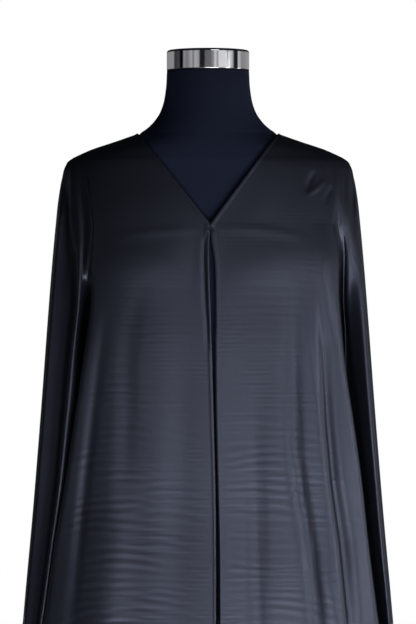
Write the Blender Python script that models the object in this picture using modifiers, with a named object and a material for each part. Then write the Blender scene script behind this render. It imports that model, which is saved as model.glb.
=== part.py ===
"""Open-fronted abaya with dolman sleeves, worn by a limbless dress form on a stand.

Run with blender --background --python part.py. Metres, +Z up. The front faces -Y, so the
wearer's left side is at +X. The origin is on the floor, under the middle of the stand's base.
The cloth is worked out as level sections from the neck down to the hem. Every section of a
half front runs from the front edge to the side seam and, in the sleeve, from the under-sleeve
seam round to the overarm seam. Above the underarm the two runs meet at the bottom of one fold.
"""

import math
from typing import NamedTuple

import bmesh
import bpy
import numpy as np
from mathutils import Vector

# Driving dimensions of the garment
WALL = 0.0014
SEAM_INSET = 0.00015
NECK_POINT_X = 0.0935
NECK_POINT_Z = 1.420
BACK_NECK_DROP = 0.011
V_POINT_Z = 1.298
UNDERARM_Z = 1.120
CUFF_Z = 0.720
HEM_Z = 0.075
SHOULDER_TIP_Z = 1.384
SHOULDER_ROWS = 8
RIM_PULL = 6

# How the fold between body and sleeve is shaped
SIDE_GAP = 0.003
SIDE_BITE = 0.010
BITE_START_Z, BITE_FULL_Z = 1.170, 1.050
BITE_END_Z = 0.450
BACK_LEAN = 0.006
RETURN_X, RETURN_DEPTH = 0.6, 0.25
WALL_DEPTH = 0.7
CORNER_TUCK = 0.12
DIP_START_Z, DIP_FULL_Z = 1.375, 1.200
RIM_TURN_X, RIM_TURN_DEPTH = 0.8, 0.72

# The soft troughs of the body: their depth under the chest and what the flare adds at the hem
TROUGH_DEPTH = 0.012
TROUGH_START_Z, TROUGH_FULL_Z = 1.240, 0.300
HEM_TROUGH_DEPTH = 0.016
FLARE_START_Z = 0.800
TROUGH_IN_SHARE, SWELL_SHARE, TROUGH_OUT_SHARE = -0.5, 0.3, -0.8
BACK_FIRST_SHARE = 0.45

# Driving dimensions of the form and its stand
FORM_SIDE_CLEARANCE = 0.0056
FORM_FRONT_CLEARANCE = 0.0040
FORM_BACK_CLEARANCE = 0.0045
FORM_SHOULDER_LEVELS = (1.420, 1.4165, 1.4125, 1.408, 1.403, 1.3975, 1.392, 1.387)
FORM_COLUMNS = 44
FORM_FOOT_Z = 0.780
NECK_TOP_Z = 1.5062
CAP_RADIUS = 0.0555
CAP_HEIGHT = 0.0271
CAP_LIP = 0.0030
CAP_BEVEL = 0.0006
FIT_GAP = 0.0003
POLE_RADIUS = 0.0125
FLANGE_RADIUS = 0.034
FLANGE_HEIGHT = 0.010
FLANGE_RIM = 0.004
FLANGE_NECK = 0.006
BASE_RADIUS = 0.170
BASE_THICKNESS = 0.014
BASE_FALL = 0.002
BASE_EDGE = 0.004
BASE_ROUND = 0.016
COLLAR_RADIUS = 0.024
COLLAR_HEIGHT = 0.030
COLLAR_BEVEL = 0.004

# Driving dimensions of the hook and eye
WIRE_RADIUS = 0.0004
LOOP_RADIUS = 0.0016
EYE_POINTS = 11
EYE_START, EYE_END = 130, 410
EYE_OFFSET = 0.0003
HOOK_LENGTH = 0.0036
HOOK_RISE = 0.0010
HOOK_DROP = 0.0065


class Outline(NamedTuple):
    """The garment's bare outline at one height: its half width, depths and squareness."""

    z: float
    rim: float
    front: float
    back: float
    power: float


OUTLINE = (
    Outline(1.4200, 0.0935, 0.075, 0.056, 2.0),
    Outline(1.4110, 0.1240, 0.079, 0.067, 2.0),
    Outline(1.4000, 0.1570, 0.083, 0.075, 2.0),
    Outline(1.3890, 0.1810, 0.087, 0.084, 2.0),
    Outline(1.3840, 0.1880, 0.089, 0.087, 2.05),
    Outline(1.3780, 0.1915, 0.091, 0.090, 2.1),
    Outline(1.3620, 0.1965, 0.096, 0.096, 2.2),
    Outline(1.3380, 0.2010, 0.103, 0.103, 2.35),
    Outline(1.2980, 0.2055, 0.113, 0.110, 2.6),
    Outline(1.2520, 0.2097, 0.121, 0.113, 2.8),
    Outline(1.1660, 0.2165, 0.128, 0.115, 3.0),
    Outline(1.0800, 0.2228, 0.131, 0.117, 3.1),
    Outline(0.9940, 0.2295, 0.134, 0.120, 3.2),
    Outline(0.9080, 0.2366, 0.138, 0.126, 3.2),
    Outline(0.8220, 0.2445, 0.146, 0.134, 3.2),
    Outline(0.7200, 0.2540, 0.157, 0.146, 3.1),
    Outline(0.4000, 0.3020, 0.200, 0.192, 2.7),
    Outline(0.0750, 0.3600, 0.242, 0.240, 2.4),
)


class Folds(NamedTuple):
    """How far out each fold line lies at one height, from the middle to the sleeve's rim."""

    z: float
    trough_in: float
    swell: float
    trough_out: float
    edge: float
    valley: float
    corner: float
    dip: float
    ridge: float


# The wearer's left, at +X
LEFT_FOLDS = (
    Folds(1.298, 0.060, 0.105, 0.135, 0.1600, 0.1720, 0.1820, 0.1890, 0.1945),
    Folds(1.279, 0.070, 0.112, 0.141, 0.1650, 0.1755, 0.1835, 0.1900, 0.1955),
    Folds(1.198, 0.100, 0.130, 0.152, 0.1705, 0.1775, 0.1850, 0.1915, 0.1992),
    Folds(1.117, 0.118, 0.144, 0.161, 0.1783, 0.1850, 0.1915, 0.1975, 0.2045),
    Folds(1.037, 0.127, 0.153, 0.1705, 0.1901, 0.1953, 0.1995, 0.2035, 0.2090),
    Folds(0.956, 0.131, 0.1587, 0.1783, 0.2010, 0.2060, 0.2095, 0.2125, 0.2165),
    Folds(0.875, 0.135, 0.1639, 0.1880, 0.2098, 0.2145, 0.2175, 0.2200, 0.2235),
    Folds(0.795, 0.143, 0.1744, 0.1970, 0.2200, 0.2250, 0.2280, 0.2305, 0.2340),
    Folds(0.720, 0.150, 0.184, 0.2070, 0.2310, 0.2355, 0.2380, 0.2400, 0.2430),
    Folds(0.400, 0.176, 0.218, 0.2480, 0.2790, 0.3010, 0.3010, 0.3010, 0.3010),
    Folds(0.075, 0.205, 0.258, 0.2950, 0.3320, 0.3590, 0.3590, 0.3590, 0.3590),
)
# The wearer's right, at -X
RIGHT_FOLDS = (
    Folds(1.298, 0.045, 0.085, 0.118, 0.1400, 0.1500, 0.1650, 0.1780, 0.1920),
    Folds(1.279, 0.048, 0.088, 0.119, 0.1410, 0.1500, 0.1690, 0.1800, 0.1945),
    Folds(1.198, 0.060, 0.095, 0.125, 0.1495, 0.1565, 0.1728, 0.1815, 0.2020),
    Folds(1.117, 0.070, 0.105, 0.135, 0.1626, 0.1690, 0.1808, 0.1887, 0.2060),
    Folds(1.037, 0.078, 0.113, 0.1429, 0.1744, 0.1808, 0.1887, 0.1953, 0.2124),
    Folds(0.956, 0.084, 0.121, 0.1521, 0.1862, 0.1912, 0.1966, 0.2019, 0.2203),
    Folds(0.875, 0.090, 0.128, 0.1600, 0.2000, 0.2045, 0.2075, 0.2110, 0.2275),
    Folds(0.795, 0.095, 0.135, 0.1678, 0.2105, 0.2150, 0.2180, 0.2215, 0.2330),
    Folds(0.720, 0.102, 0.144, 0.1790, 0.2220, 0.2270, 0.2300, 0.2330, 0.2420),
    Folds(0.400, 0.140, 0.188, 0.2300, 0.2760, 0.3010, 0.3010, 0.3010, 0.3010),
    Folds(0.075, 0.180, 0.236, 0.2850, 0.3300, 0.3590, 0.3590, 0.3590, 0.3590),
)


class Opening(NamedTuple):
    """Where the two front edges hang at one height."""

    z: float
    right: float
    left: float


OPENING = (
    Opening(1.298, 0.0020, 0.0034),
    Opening(1.279, 0.0016, 0.0044),
    Opening(1.252, -0.0010, 0.0083),
    Opening(1.198, 0.0002, 0.0105),
    Opening(1.117, 0.0038, 0.0107),
    Opening(1.037, 0.0064, 0.0118),
    Opening(0.956, 0.0084, 0.0137),
    Opening(0.875, 0.0092, 0.0156),
    Opening(0.795, 0.0092, 0.0164),
    Opening(0.400, 0.0100, 0.0190),
    Opening(0.075, 0.0100, 0.0220),
)


class Side(NamedTuple):
    """One side of the garment: its sign along X, its folds and where they begin."""

    sign: int
    folds: tuple
    fold_start: float
    dip_share: float


LEFT = Side(1, LEFT_FOLDS, 1.315, 0.07)
RIGHT = Side(-1, RIGHT_FOLDS, 1.285, 0.20)

# Heights of the level sections from the V point down
LEVELS = (
    1.298, 1.272, 1.244, 1.214, 1.184, 1.157, 1.136, UNDERARM_Z,
    1.098, 1.060, 1.010, 0.955, 0.900, 0.845, 0.790, CUFF_Z,
    0.620, 0.500, 0.380, 0.260, 0.150, HEM_Z,
)
# How many columns lie between one fold line and the next
FRONT_STEPS = (3, 2, 2, 2, 1, 1, 1)
SLEEVE_STEPS = (1, 2, 1, 2, 1, 2)
BACK_NECK_COLUMNS = 5


def smooth_at(heights, values, z):
    """The table's value at height z on a curve without kinks."""
    heights = np.array(heights[::-1])
    values = np.array(values[::-1])
    z = min(max(z, heights[0]), heights[-1])
    slopes = np.gradient(values, heights)
    i = min(int(np.searchsorted(heights, z, side="right")) - 1, len(heights) - 2)
    step = heights[i + 1] - heights[i]
    t = (z - heights[i]) / step
    start = (1 + 2 * t) * (1 - t) ** 2 * values[i] + t * (1 - t) ** 2 * step * slopes[i]
    end = t * t * (3 - 2 * t) * values[i + 1] + t * t * (t - 1) * step * slopes[i + 1]
    return float(start + end)


def column(table, name, z):
    """One named column of a table at height z."""
    return smooth_at([row.z for row in table], [getattr(row, name) for row in table], z)


def ramp(value, start, end):
    """0 at start, 1 at end, easing in and out between them."""
    t = min(max((value - start) / (end - start), 0.0), 1.0)
    return t * t * (3 - 2 * t)


def mix(a, b, share):
    """The value that lies this share of the way from a to b."""
    return a + (b - a) * share


def depth_at(x, z, is_back):
    """How far in front of, or behind, the side plane the bare outline lies."""
    rim = column(OUTLINE, "rim", z)
    power = column(OUTLINE, "power", z)
    depth = column(OUTLINE, "back" if is_back else "front", z)
    inside = max(1.0 - min(abs(x) / rim, 1.0) ** power, 0.0)
    return depth * inside ** (1 / power)


def spread(controls, steps):
    """Points on a smooth curve through the controls, with this many steps for each stretch."""
    controls = [np.array(point, float) for point in controls]
    found = [controls[0]]
    for i, count in enumerate(steps):
        before = controls[max(i - 1, 0)]
        a, b = controls[i], controls[i + 1]
        after = controls[min(i + 2, len(controls) - 1)]
        for k in range(1, count + 1):
            t = k / count
            curve = (
                2 * a
                + (b - before) * t
                + (2 * before - 5 * a + 4 * b - after) * t * t
                + (3 * a - before - 3 * b + after) * t ** 3
            )
            found.append(curve / 2)
    return found


def fold_share(side, z):
    """How deep the fold between body and sleeve is: 0 above its start, 1 at the underarm."""
    return ramp(z, side.fold_start, UNDERARM_Z) if z > UNDERARM_Z else 1.0


def lean_at(z, is_back):
    """How far the fold's two walls lean towards the middle, behind the side plane."""
    return BACK_LEAN * ramp(z, BITE_START_Z, BITE_FULL_Z) * ramp(z, BITE_END_Z, CUFF_Z) * is_back


def body_section(side, z, is_back):
    """(x, depth) from the middle edge to the side seam, or to the fold's bottom."""
    name = "left" if side.sign > 0 else "right"
    at = {key: column(side.folds, key, z) for key in Folds._fields[1:]}
    middle = 0.0 if is_back else side.sign * column(OPENING, name, z)
    share = fold_share(side, z)
    bite = SIDE_BITE * ramp(z, BITE_START_Z, BITE_FULL_Z) * ramp(z, BITE_END_Z, CUFF_Z)
    bottom_x = at["valley"] - bite
    bottom = depth_at(at["valley"], z, is_back) * (1 - share)
    trough = TROUGH_DEPTH * ramp(z, TROUGH_START_Z, TROUGH_FULL_Z)
    trough += HEM_TROUGH_DEPTH * ramp(z, FLARE_START_Z, HEM_Z)
    edge = depth_at(at["edge"], z, is_back)
    wall_x = bottom_x - (SIDE_GAP if z >= CUFF_Z else 0.0)
    leaning_x = wall_x - lean_at(z, is_back)

    def on_front(line, raised=0.0):
        return at[line], depth_at(at[line], z, is_back) + raised * trough

    controls = [
        (middle, depth_at(middle, z, is_back)),
        on_front("trough_in", TROUGH_IN_SHARE),
        on_front("swell", SWELL_SHARE),
        on_front("trough_out", TROUGH_OUT_SHARE),
        on_front("edge"),
        (mix(at["edge"], leaning_x, RETURN_X), mix(edge, bottom, RETURN_DEPTH)),
        (leaning_x, mix(edge, bottom, WALL_DEPTH)),
        (bottom_x if z >= UNDERARM_Z else wall_x, bottom),
    ]
    steps = list(FRONT_STEPS)
    if is_back:
        first = BACK_FIRST_SHARE * at["trough_in"]
        controls.insert(1, (first, depth_at(first, z, is_back)))
        steps.insert(0, BACK_NECK_COLUMNS)
    return spread(controls, steps)


def sleeve_section(side, z, is_back):
    """(x, depth) from the under-sleeve seam, or the fold's bottom, to the overarm seam."""
    at = {key: column(side.folds, key, z) for key in Folds._fields[1:]}
    rim = column(OUTLINE, "rim", z)
    share = fold_share(side, z)
    bottom_x = at["valley"] - SIDE_BITE * ramp(z, BITE_START_Z, BITE_FULL_Z)
    bottom = depth_at(at["valley"], z, is_back) * (1 - share)
    corner = depth_at(at["corner"], z, is_back) * (1 - CORNER_TUCK * share)
    dip_share = side.dip_share * ramp(z, DIP_START_Z, DIP_FULL_Z)
    dip = depth_at(at["dip"], z, is_back) * (1 - dip_share)
    ridge = depth_at(at["ridge"], z, is_back)
    wall_x = bottom_x + SIDE_GAP
    controls = [
        (bottom_x if z >= UNDERARM_Z else wall_x, bottom),
        (wall_x - lean_at(z, is_back), mix(corner, bottom, WALL_DEPTH)),
        (at["corner"], corner),
        (at["dip"], dip),
        (at["ridge"], ridge),
        (mix(at["ridge"], rim, RIM_TURN_X), RIM_TURN_DEPTH * ridge),
        (rim, 0.0),
    ]
    return spread(controls, SLEEVE_STEPS)


def shoulder_height(x):
    """The height of the shoulder seam, or of the back neckline inside the neck point."""
    if x < NECK_POINT_X:
        return NECK_POINT_Z - BACK_NECK_DROP * (1 - (x / NECK_POINT_X) ** 2)
    rows = [row for row in OUTLINE if row.z >= SHOULDER_TIP_Z]
    return float(np.interp(x, [row.rim for row in rows], [row.z for row in rows]))


def shoulder_rows(side, is_back):
    """Rows of (x, depth, z) from the shoulder seam down to the V point's height."""
    tip = column(OUTLINE, "rim", SHOULDER_TIP_Z)
    body = body_section(side, V_POINT_Z, is_back)
    sleeve = sleeve_section(side, V_POINT_Z, is_back)
    last_row = body + sleeve[1:]
    lead = BACK_NECK_COLUMNS if is_back else 0
    front = body_section(side, V_POINT_Z, False) + sleeve_section(side, V_POINT_Z, False)[1:]
    shares = [(p[0] - front[0][0]) / (front[-1][0] - front[0][0]) for p in front]
    top_x = [mix(NECK_POINT_X, tip, share) for share in shares]
    top_x = [NECK_POINT_X * math.sin(0.5 * math.pi * k / lead) for k in range(lead)] + top_x
    rows = []
    for j in range(SHOULDER_ROWS):
        down = (j / SHOULDER_ROWS) ** 2
        row = []
        for k, start in enumerate(top_x):
            x = mix(start, last_row[k][0], down)
            z = mix(shoulder_height(start), V_POINT_Z, down)
            rim = column(OUTLINE, "rim", z)
            on_seam = j == 0 and k >= lead
            if not on_seam:
                outer = max(k - lead, 0) / (len(top_x) - 1 - lead)
                x = mix(x, rim, outer ** RIM_PULL)
            row.append((x, 0.0 if on_seam else depth_at(x, z, is_back), z))
        rows.append(row)
    return rows


def panel_patches(side, is_back):
    """Two grids of points in space: the body part, and the sleeve part, of a half panel."""
    facing = 1 if is_back else -1

    def place(x, depth, z):
        return Vector((side.sign * x, facing * depth, z))

    body, sleeve = [], []
    body_columns = len(body_section(side, V_POINT_Z, is_back))
    for row in shoulder_rows(side, is_back):
        points = [place(*point) for point in row]
        body.append(points[:body_columns])
        sleeve.append(points[body_columns - 1 :])
    for z in LEVELS:
        body.append([place(x, depth, z) for x, depth in body_section(side, z, is_back)])
        if z >= CUFF_Z:
            sleeve.append([place(x, depth, z) for x, depth in sleeve_section(side, z, is_back)])
    return body, sleeve


def quads_of(grid, flip):
    """The grid's faces as corner points, all facing out."""
    found = []
    for upper, lower in zip(grid, grid[1:]):
        for k in range(len(upper) - 1):
            corners = [upper[k], lower[k], lower[k + 1], upper[k + 1]]
            found.append(corners[::-1] if flip else corners)
    return found


def key_of(point):
    """One key for points that are the same to a hundredth of a millimetre."""
    return tuple(round(value * 1e5) for value in point)


def sheet_normals(sheets):
    """The outward direction at every point, over all the sheets as if they were sewn up.

    Every seam lies in the side plane, y = 0, and there the direction is kept in that plane.
    """
    normals = {}
    for quads in sheets.values():
        for a, b, c, d in quads:
            normal = (c - a).cross(d - b)
            for corner in (a, b, c, d):
                key = key_of(corner)
                in_plane = (1, 0 if key[1] == 0 else 1, 1)
                normals[key] = normals.get(key, Vector()) + normal * Vector(in_plane)
    return {key: normal.normalized() for key, normal in normals.items()}


def make_object(name, mesh, collection, material):
    """An object with its material, linked to the part's collection."""
    obj = bpy.data.objects.new(name, mesh)
    mesh.materials.append(material)
    collection.objects.link(obj)
    return obj


def make_material(name, colour, roughness, metallic=0.0):
    """A Principled material with one colour."""
    material = bpy.data.materials.new(name)
    material.use_nodes = True
    shader = material.node_tree.nodes["Principled BSDF"]
    shader.inputs["Base Color"].default_value = (*colour, 1.0)
    shader.inputs["Roughness"].default_value = roughness
    shader.inputs["Metallic"].default_value = metallic
    return material


def make_wall(name, sheets, normals, collection, material):
    """A cloth panel of even thickness on its sheet, its sewn edges drawn back from the seam."""
    quads = sheets[name]
    shared = set()
    for other, others in sheets.items():
        if other != name:
            shared |= {key_of(p) for quad in others for p in quad}
    facing = 1 if name == "back" else -1
    places = {key_of(corner): corner for quad in quads for corner in quad}
    built = bmesh.new()
    outer, inner = {}, {}
    for key, place in places.items():
        drawn_back = facing * SEAM_INSET if key in shared else 0.0
        centre = place + Vector((0.0, drawn_back, 0.0))
        outer[key] = built.verts.new(centre + normals[key] * WALL / 2)
        inner[key] = built.verts.new(centre - normals[key] * WALL / 2)
    directed = set()
    for quad in quads:
        keys = list(dict.fromkeys(key_of(corner) for corner in quad))
        if len(keys) < 3:
            continue
        built.faces.new([outer[k] for k in keys])
        built.faces.new([inner[k] for k in reversed(keys)])
        directed |= {(keys[i - 1], keys[i]) for i in range(len(keys))}
    for a, b in directed:
        if (b, a) not in directed:
            built.faces.new([outer[b], outer[a], inner[a], inner[b]])
    bmesh.ops.triangulate(built, faces=built.faces[:])
    mesh = bpy.data.meshes.new(name)
    built.to_mesh(mesh)
    built.free()
    mesh.shade_smooth()
    return make_object(name, mesh, collection, material)


def build_garment(collection):
    """The two fronts and the back, each cut in one with its halves of the sleeves."""
    satin = make_material("black_satin", (0.012, 0.013, 0.018), 0.42)
    sheets = {"front_left": [], "front_right": [], "back": []}
    for side, front in ((LEFT, "front_left"), (RIGHT, "front_right")):
        for is_back in (False, True):
            flip = (side.sign < 0) != is_back
            for grid in panel_patches(side, is_back):
                sheets["back" if is_back else front] += quads_of(grid, flip)
    normals = sheet_normals(sheets)
    for name in sheets:
        make_wall(name, sheets, normals, collection, satin)


class FormRing(NamedTuple):
    """One level of the dress form: half width, front and back depth, and squareness."""

    z: float
    width: float
    front: float
    back: float
    power: float


def form_rings():
    """The form's levels: a round neck, shoulders just under the cloth, then chest to hip."""
    neck = [
        FormRing(NECK_TOP_Z, 0.0552, 0.0552, 0.0552, 2.0),
        FormRing(1.4805, 0.0569, 0.0565, 0.0560, 2.0),
        FormRing(1.4590, 0.0612, 0.0595, 0.0560, 2.0),
        FormRing(1.4430, 0.0687, 0.0635, 0.0540, 2.0),
        FormRing(1.4320, 0.0780, 0.0665, 0.0500, 2.0),
        FormRing(1.4270, 0.0835, 0.0680, 0.0480, 2.0),
    ]
    shoulders = []
    for z in FORM_SHOULDER_LEVELS:
        rim, front, back, power = (column(OUTLINE, k, z) for k in Outline._fields[1:])
        width = rim - FORM_SIDE_CLEARANCE
        front -= FORM_FRONT_CLEARANCE
        shoulders.append(FormRing(z, width, front, back - FORM_BACK_CLEARANCE, power))
    trunk = [
        FormRing(1.380, 0.1790, 0.0855, 0.0850, 2.1),
        FormRing(1.370, 0.1710, 0.0880, 0.0880, 2.2),
        FormRing(1.352, 0.1610, 0.0930, 0.0930, 2.3),
        FormRing(1.325, 0.1530, 0.1000, 0.0990, 2.4),
        FormRing(1.285, 0.1450, 0.1080, 0.1020, 2.4),
        FormRing(1.230, 0.1390, 0.1150, 0.1020, 2.3),
        FormRing(1.170, 0.1370, 0.1170, 0.1000, 2.2),
        FormRing(1.110, 0.1300, 0.1080, 0.0920, 2.2),
        FormRing(1.050, 0.1220, 0.0950, 0.0850, 2.2),
        FormRing(1.000, 0.1220, 0.0920, 0.0870, 2.2),
        FormRing(0.940, 0.1350, 0.0980, 0.0990, 2.3),
        FormRing(0.880, 0.1500, 0.1020, 0.1080, 2.3),
        FormRing(0.830, 0.1540, 0.1010, 0.1080, 2.3),
        FormRing(0.795, 0.1530, 0.0990, 0.1050, 2.3),
        FormRing(FORM_FOOT_Z + 0.003, 0.1490, 0.0950, 0.1010, 2.3),
        FormRing(FORM_FOOT_Z, 0.1410, 0.0880, 0.0940, 2.3),
    ]
    return neck + shoulders + trunk


def build_form(collection):
    """The covered torso and neck, lofted through its levels and closed at both ends."""
    cover = make_material("navy_cover", (0.012, 0.018, 0.035), 0.85)
    around = FORM_COLUMNS
    built = bmesh.new()
    loops = []
    for ring in form_rings():
        loop = []
        for k in range(around):
            turn = 2 * math.pi * k / around
            c, s = math.cos(turn), math.sin(turn)
            round_off = 2 / ring.power
            depth = ring.back if s > 0 else ring.front
            x = ring.width * math.copysign(abs(c) ** round_off, c)
            y = depth * math.copysign(abs(s) ** round_off, s)
            loop.append(built.verts.new((x, y, ring.z)))
        loops.append(loop)
    for upper, lower in zip(loops, loops[1:]):
        for k in range(around):
            n = (k + 1) % around
            built.faces.new((upper[k], lower[k], lower[n], upper[n]))
    built.faces.new(loops[0])
    built.faces.new(loops[-1][::-1])
    bmesh.ops.triangulate(built, faces=built.faces[:])
    mesh = bpy.data.meshes.new("form_torso")
    built.to_mesh(mesh)
    built.free()
    mesh.shade_smooth()
    make_object("form_torso", mesh, collection, cover)


def build_turned(name, profile, steps, collection, material):
    """A turned piece from (radius, z) points that run down its outer side, top to bottom."""
    mesh = bpy.data.meshes.new(name)
    points = [(radius, 0.0, z) for radius, z in profile]
    mesh.from_pydata(points, [(i, i + 1) for i in range(len(points) - 1)], [])
    obj = make_object(name, mesh, collection, material)
    screw = obj.modifiers.new("turn", "SCREW")
    screw.steps = steps
    screw.render_steps = steps
    screw.use_merge_vertices = True
    screw.merge_threshold = 0.00001
    return obj


def build_stand(collection):
    """The chrome neck cap above, and the flange, pole and base below."""
    chrome = make_material("chrome", (0.78, 0.78, 0.80), 0.12, 1.0)
    low = NECK_TOP_Z + FIT_GAP
    top = low + CAP_HEIGHT
    cap = [
        (0.0, top),
        (CAP_RADIUS - CAP_LIP, top),
        (CAP_RADIUS - 0.3 * CAP_LIP, top - 0.3 * CAP_LIP),
        (CAP_RADIUS, top - CAP_LIP),
        (CAP_RADIUS, low + CAP_BEVEL),
        (CAP_RADIUS - CAP_BEVEL, low),
        (0.0, low),
    ]
    build_turned("neck_cap", cap, 48, collection, chrome)
    under = FORM_FOOT_Z - FIT_GAP
    flange = [
        (0.0, under),
        (FLANGE_RADIUS, under),
        (FLANGE_RADIUS, under - FLANGE_RIM),
        (POLE_RADIUS + FLANGE_NECK, under - FLANGE_HEIGHT),
        (0.0, under - FLANGE_HEIGHT),
    ]
    build_turned("flange", flange, 32, collection, chrome)
    pole_top = under - FLANGE_HEIGHT - FIT_GAP
    collar_foot = BASE_THICKNESS + FIT_GAP
    collar_top = collar_foot + COLLAR_HEIGHT
    pole_foot = collar_top + FIT_GAP
    pole = [(0.0, pole_top), (POLE_RADIUS, pole_top), (POLE_RADIUS, pole_foot), (0.0, pole_foot)]
    build_turned("pole", pole, 32, collection, chrome)
    collar = [
        (0.0, collar_top),
        (COLLAR_RADIUS - COLLAR_BEVEL, collar_top),
        (COLLAR_RADIUS, collar_top - COLLAR_BEVEL),
        (COLLAR_RADIUS, collar_foot),
        (0.0, collar_foot),
    ]
    build_turned("pole_collar", collar, 40, collection, chrome)
    base = [
        (0.0, BASE_THICKNESS),
        (COLLAR_RADIUS + BASE_ROUND, BASE_THICKNESS),
        (BASE_RADIUS - BASE_ROUND, BASE_THICKNESS - BASE_FALL),
        (BASE_RADIUS - BASE_EDGE, BASE_THICKNESS - BASE_FALL - BASE_EDGE),
        (BASE_RADIUS, BASE_THICKNESS / 2),
        (BASE_RADIUS, BASE_FALL),
        (BASE_RADIUS - BASE_FALL, 0.0),
        (0.0, 0.0),
    ]
    build_turned("base", base, 56, collection, chrome)


def build_wire(name, route, collection, material):
    """A bent wire through the route's points."""
    curve = bpy.data.curves.new(name, "CURVE")
    curve.dimensions = "3D"
    curve.bevel_depth = WIRE_RADIUS
    curve.bevel_resolution = 1
    curve.use_fill_caps = True
    spline = curve.splines.new("POLY")
    spline.points.add(len(route) - 1)
    for point, place in zip(spline.points, route):
        point.co = (*place, 1.0)
    obj = bpy.data.objects.new(name, curve)
    curve.materials.append(material)
    collection.objects.link(obj)
    return obj


def build_fastening(collection):
    """The hook on the wearer's left front and the eye on the right one, just under the V."""
    enamel = make_material("black_enamel", (0.02, 0.02, 0.025), 0.3, 0.6)
    z = V_POINT_Z - HOOK_DROP
    parting = 0.5 * (column(OPENING, "left", z) + column(OPENING, "right", z))
    face = -depth_at(0.0, z, False) - WALL / 2 - WIRE_RADIUS - 2 * FIT_GAP
    front = face - 2 * WIRE_RADIUS - FIT_GAP
    eye = []
    for k in range(EYE_POINTS):
        turn = math.radians(mix(EYE_START, EYE_END, k / (EYE_POINTS - 1)))
        x = parting - LOOP_RADIUS - EYE_OFFSET - LOOP_RADIUS * math.cos(turn)
        eye.append((x, face, z + LOOP_RADIUS * math.sin(turn)))
    build_wire("eye", eye, collection, enamel)
    hook = [
        (parting + HOOK_LENGTH, face, z + HOOK_RISE),
        (parting + 0.6 * HOOK_LENGTH, face - FIT_GAP, z + 0.4 * HOOK_RISE),
        (parting + 0.3 * HOOK_LENGTH, front, z),
        (parting - 0.1 * HOOK_LENGTH, front - FIT_GAP / 2, z),
        (parting - 0.45 * HOOK_LENGTH, front, z),
    ]
    build_wire("hook", hook, collection, enamel)


def main():
    for old in list(bpy.data.objects):
        bpy.data.objects.remove(old, do_unlink=True)
    collection = bpy.data.collections.new("abaya_on_dress_form")
    bpy.context.scene.collection.children.link(collection)
    build_garment(collection)
    build_form(collection)
    build_stand(collection)
    build_fastening(collection)


main()
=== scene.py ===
"""Looks of the open-fronted abaya on its dress form: fine cloth, finishes, studio and camera.

Metres, +Z up. The front faces -Y, so the wearer's left side is at +X. The cloth is worked out
from the same level sections as the part's solids, with many more rows and columns, and then
takes its creases, crinkles, turned hems and stitches.
"""

import logging
import math
from dataclasses import dataclass
from enum import Enum
from typing import NamedTuple

import bmesh
import bpy
import numpy as np
from mathutils import Matrix, Vector


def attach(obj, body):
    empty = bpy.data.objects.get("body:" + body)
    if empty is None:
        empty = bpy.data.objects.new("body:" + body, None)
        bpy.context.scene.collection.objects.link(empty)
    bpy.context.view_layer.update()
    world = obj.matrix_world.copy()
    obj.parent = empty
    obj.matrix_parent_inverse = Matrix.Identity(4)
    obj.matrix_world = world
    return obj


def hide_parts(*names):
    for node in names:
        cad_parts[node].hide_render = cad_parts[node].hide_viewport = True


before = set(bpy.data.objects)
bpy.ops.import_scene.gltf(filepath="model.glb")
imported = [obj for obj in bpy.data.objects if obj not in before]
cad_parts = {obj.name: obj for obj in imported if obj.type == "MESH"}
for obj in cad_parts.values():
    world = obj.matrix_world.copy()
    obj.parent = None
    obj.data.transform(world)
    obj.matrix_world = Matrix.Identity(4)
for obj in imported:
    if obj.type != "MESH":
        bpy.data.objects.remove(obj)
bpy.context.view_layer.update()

logging.basicConfig(level=logging.INFO, format="%(levelname)s %(message)s")
log = logging.getLogger("abaya")

Array = np.ndarray


class Half(Enum):
    """Which half of the wearer a panel covers; the value is the sign of its X."""

    LEFT = 1
    RIGHT = -1


class Face(Enum):
    """Whether a surface covers the chest or the back; the value is the sign of its Y."""

    FRONT = -1
    BACK = 1


class Outline(NamedTuple):
    """The garment's bare outline at one height: half width, depths and squareness."""

    z: float
    rim: float
    front: float
    back: float
    power: float


OUTLINE = (
    Outline(1.4212, 0.095, 0.075, 0.056, 2.0),
    Outline(1.411, 0.124, 0.079, 0.067, 2.0),
    Outline(1.4, 0.157, 0.083, 0.075, 2.0),
    Outline(1.389, 0.181, 0.087, 0.084, 2.0),
    Outline(1.384, 0.188, 0.089, 0.087, 2.05),
    Outline(1.378, 0.1915, 0.091, 0.09, 2.1),
    Outline(1.362, 0.1965, 0.096, 0.096, 2.2),
    Outline(1.338, 0.201, 0.103, 0.103, 2.35),
    Outline(1.298, 0.2055, 0.113, 0.11, 2.6),
    Outline(1.252, 0.2097, 0.121, 0.113, 2.8),
    Outline(1.166, 0.2165, 0.128, 0.115, 3.0),
    Outline(1.08, 0.2228, 0.131, 0.117, 3.1),
    Outline(0.994, 0.2295, 0.134, 0.12, 3.2),
    Outline(0.908, 0.2366, 0.138, 0.126, 3.2),
    Outline(0.822, 0.2445, 0.146, 0.134, 3.2),
    Outline(0.72, 0.254, 0.157, 0.146, 3.1),
    Outline(0.4, 0.302, 0.2, 0.192, 2.7),
    Outline(0.075, 0.36, 0.242, 0.24, 2.4),
)


class Folds(NamedTuple):
    """How far out each fold line lies at one height, from the middle to the sleeve's rim."""

    z: float
    trough_in: float
    swell: float
    trough_out: float
    edge: float
    valley: float
    corner: float
    dip: float
    ridge: float


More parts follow.
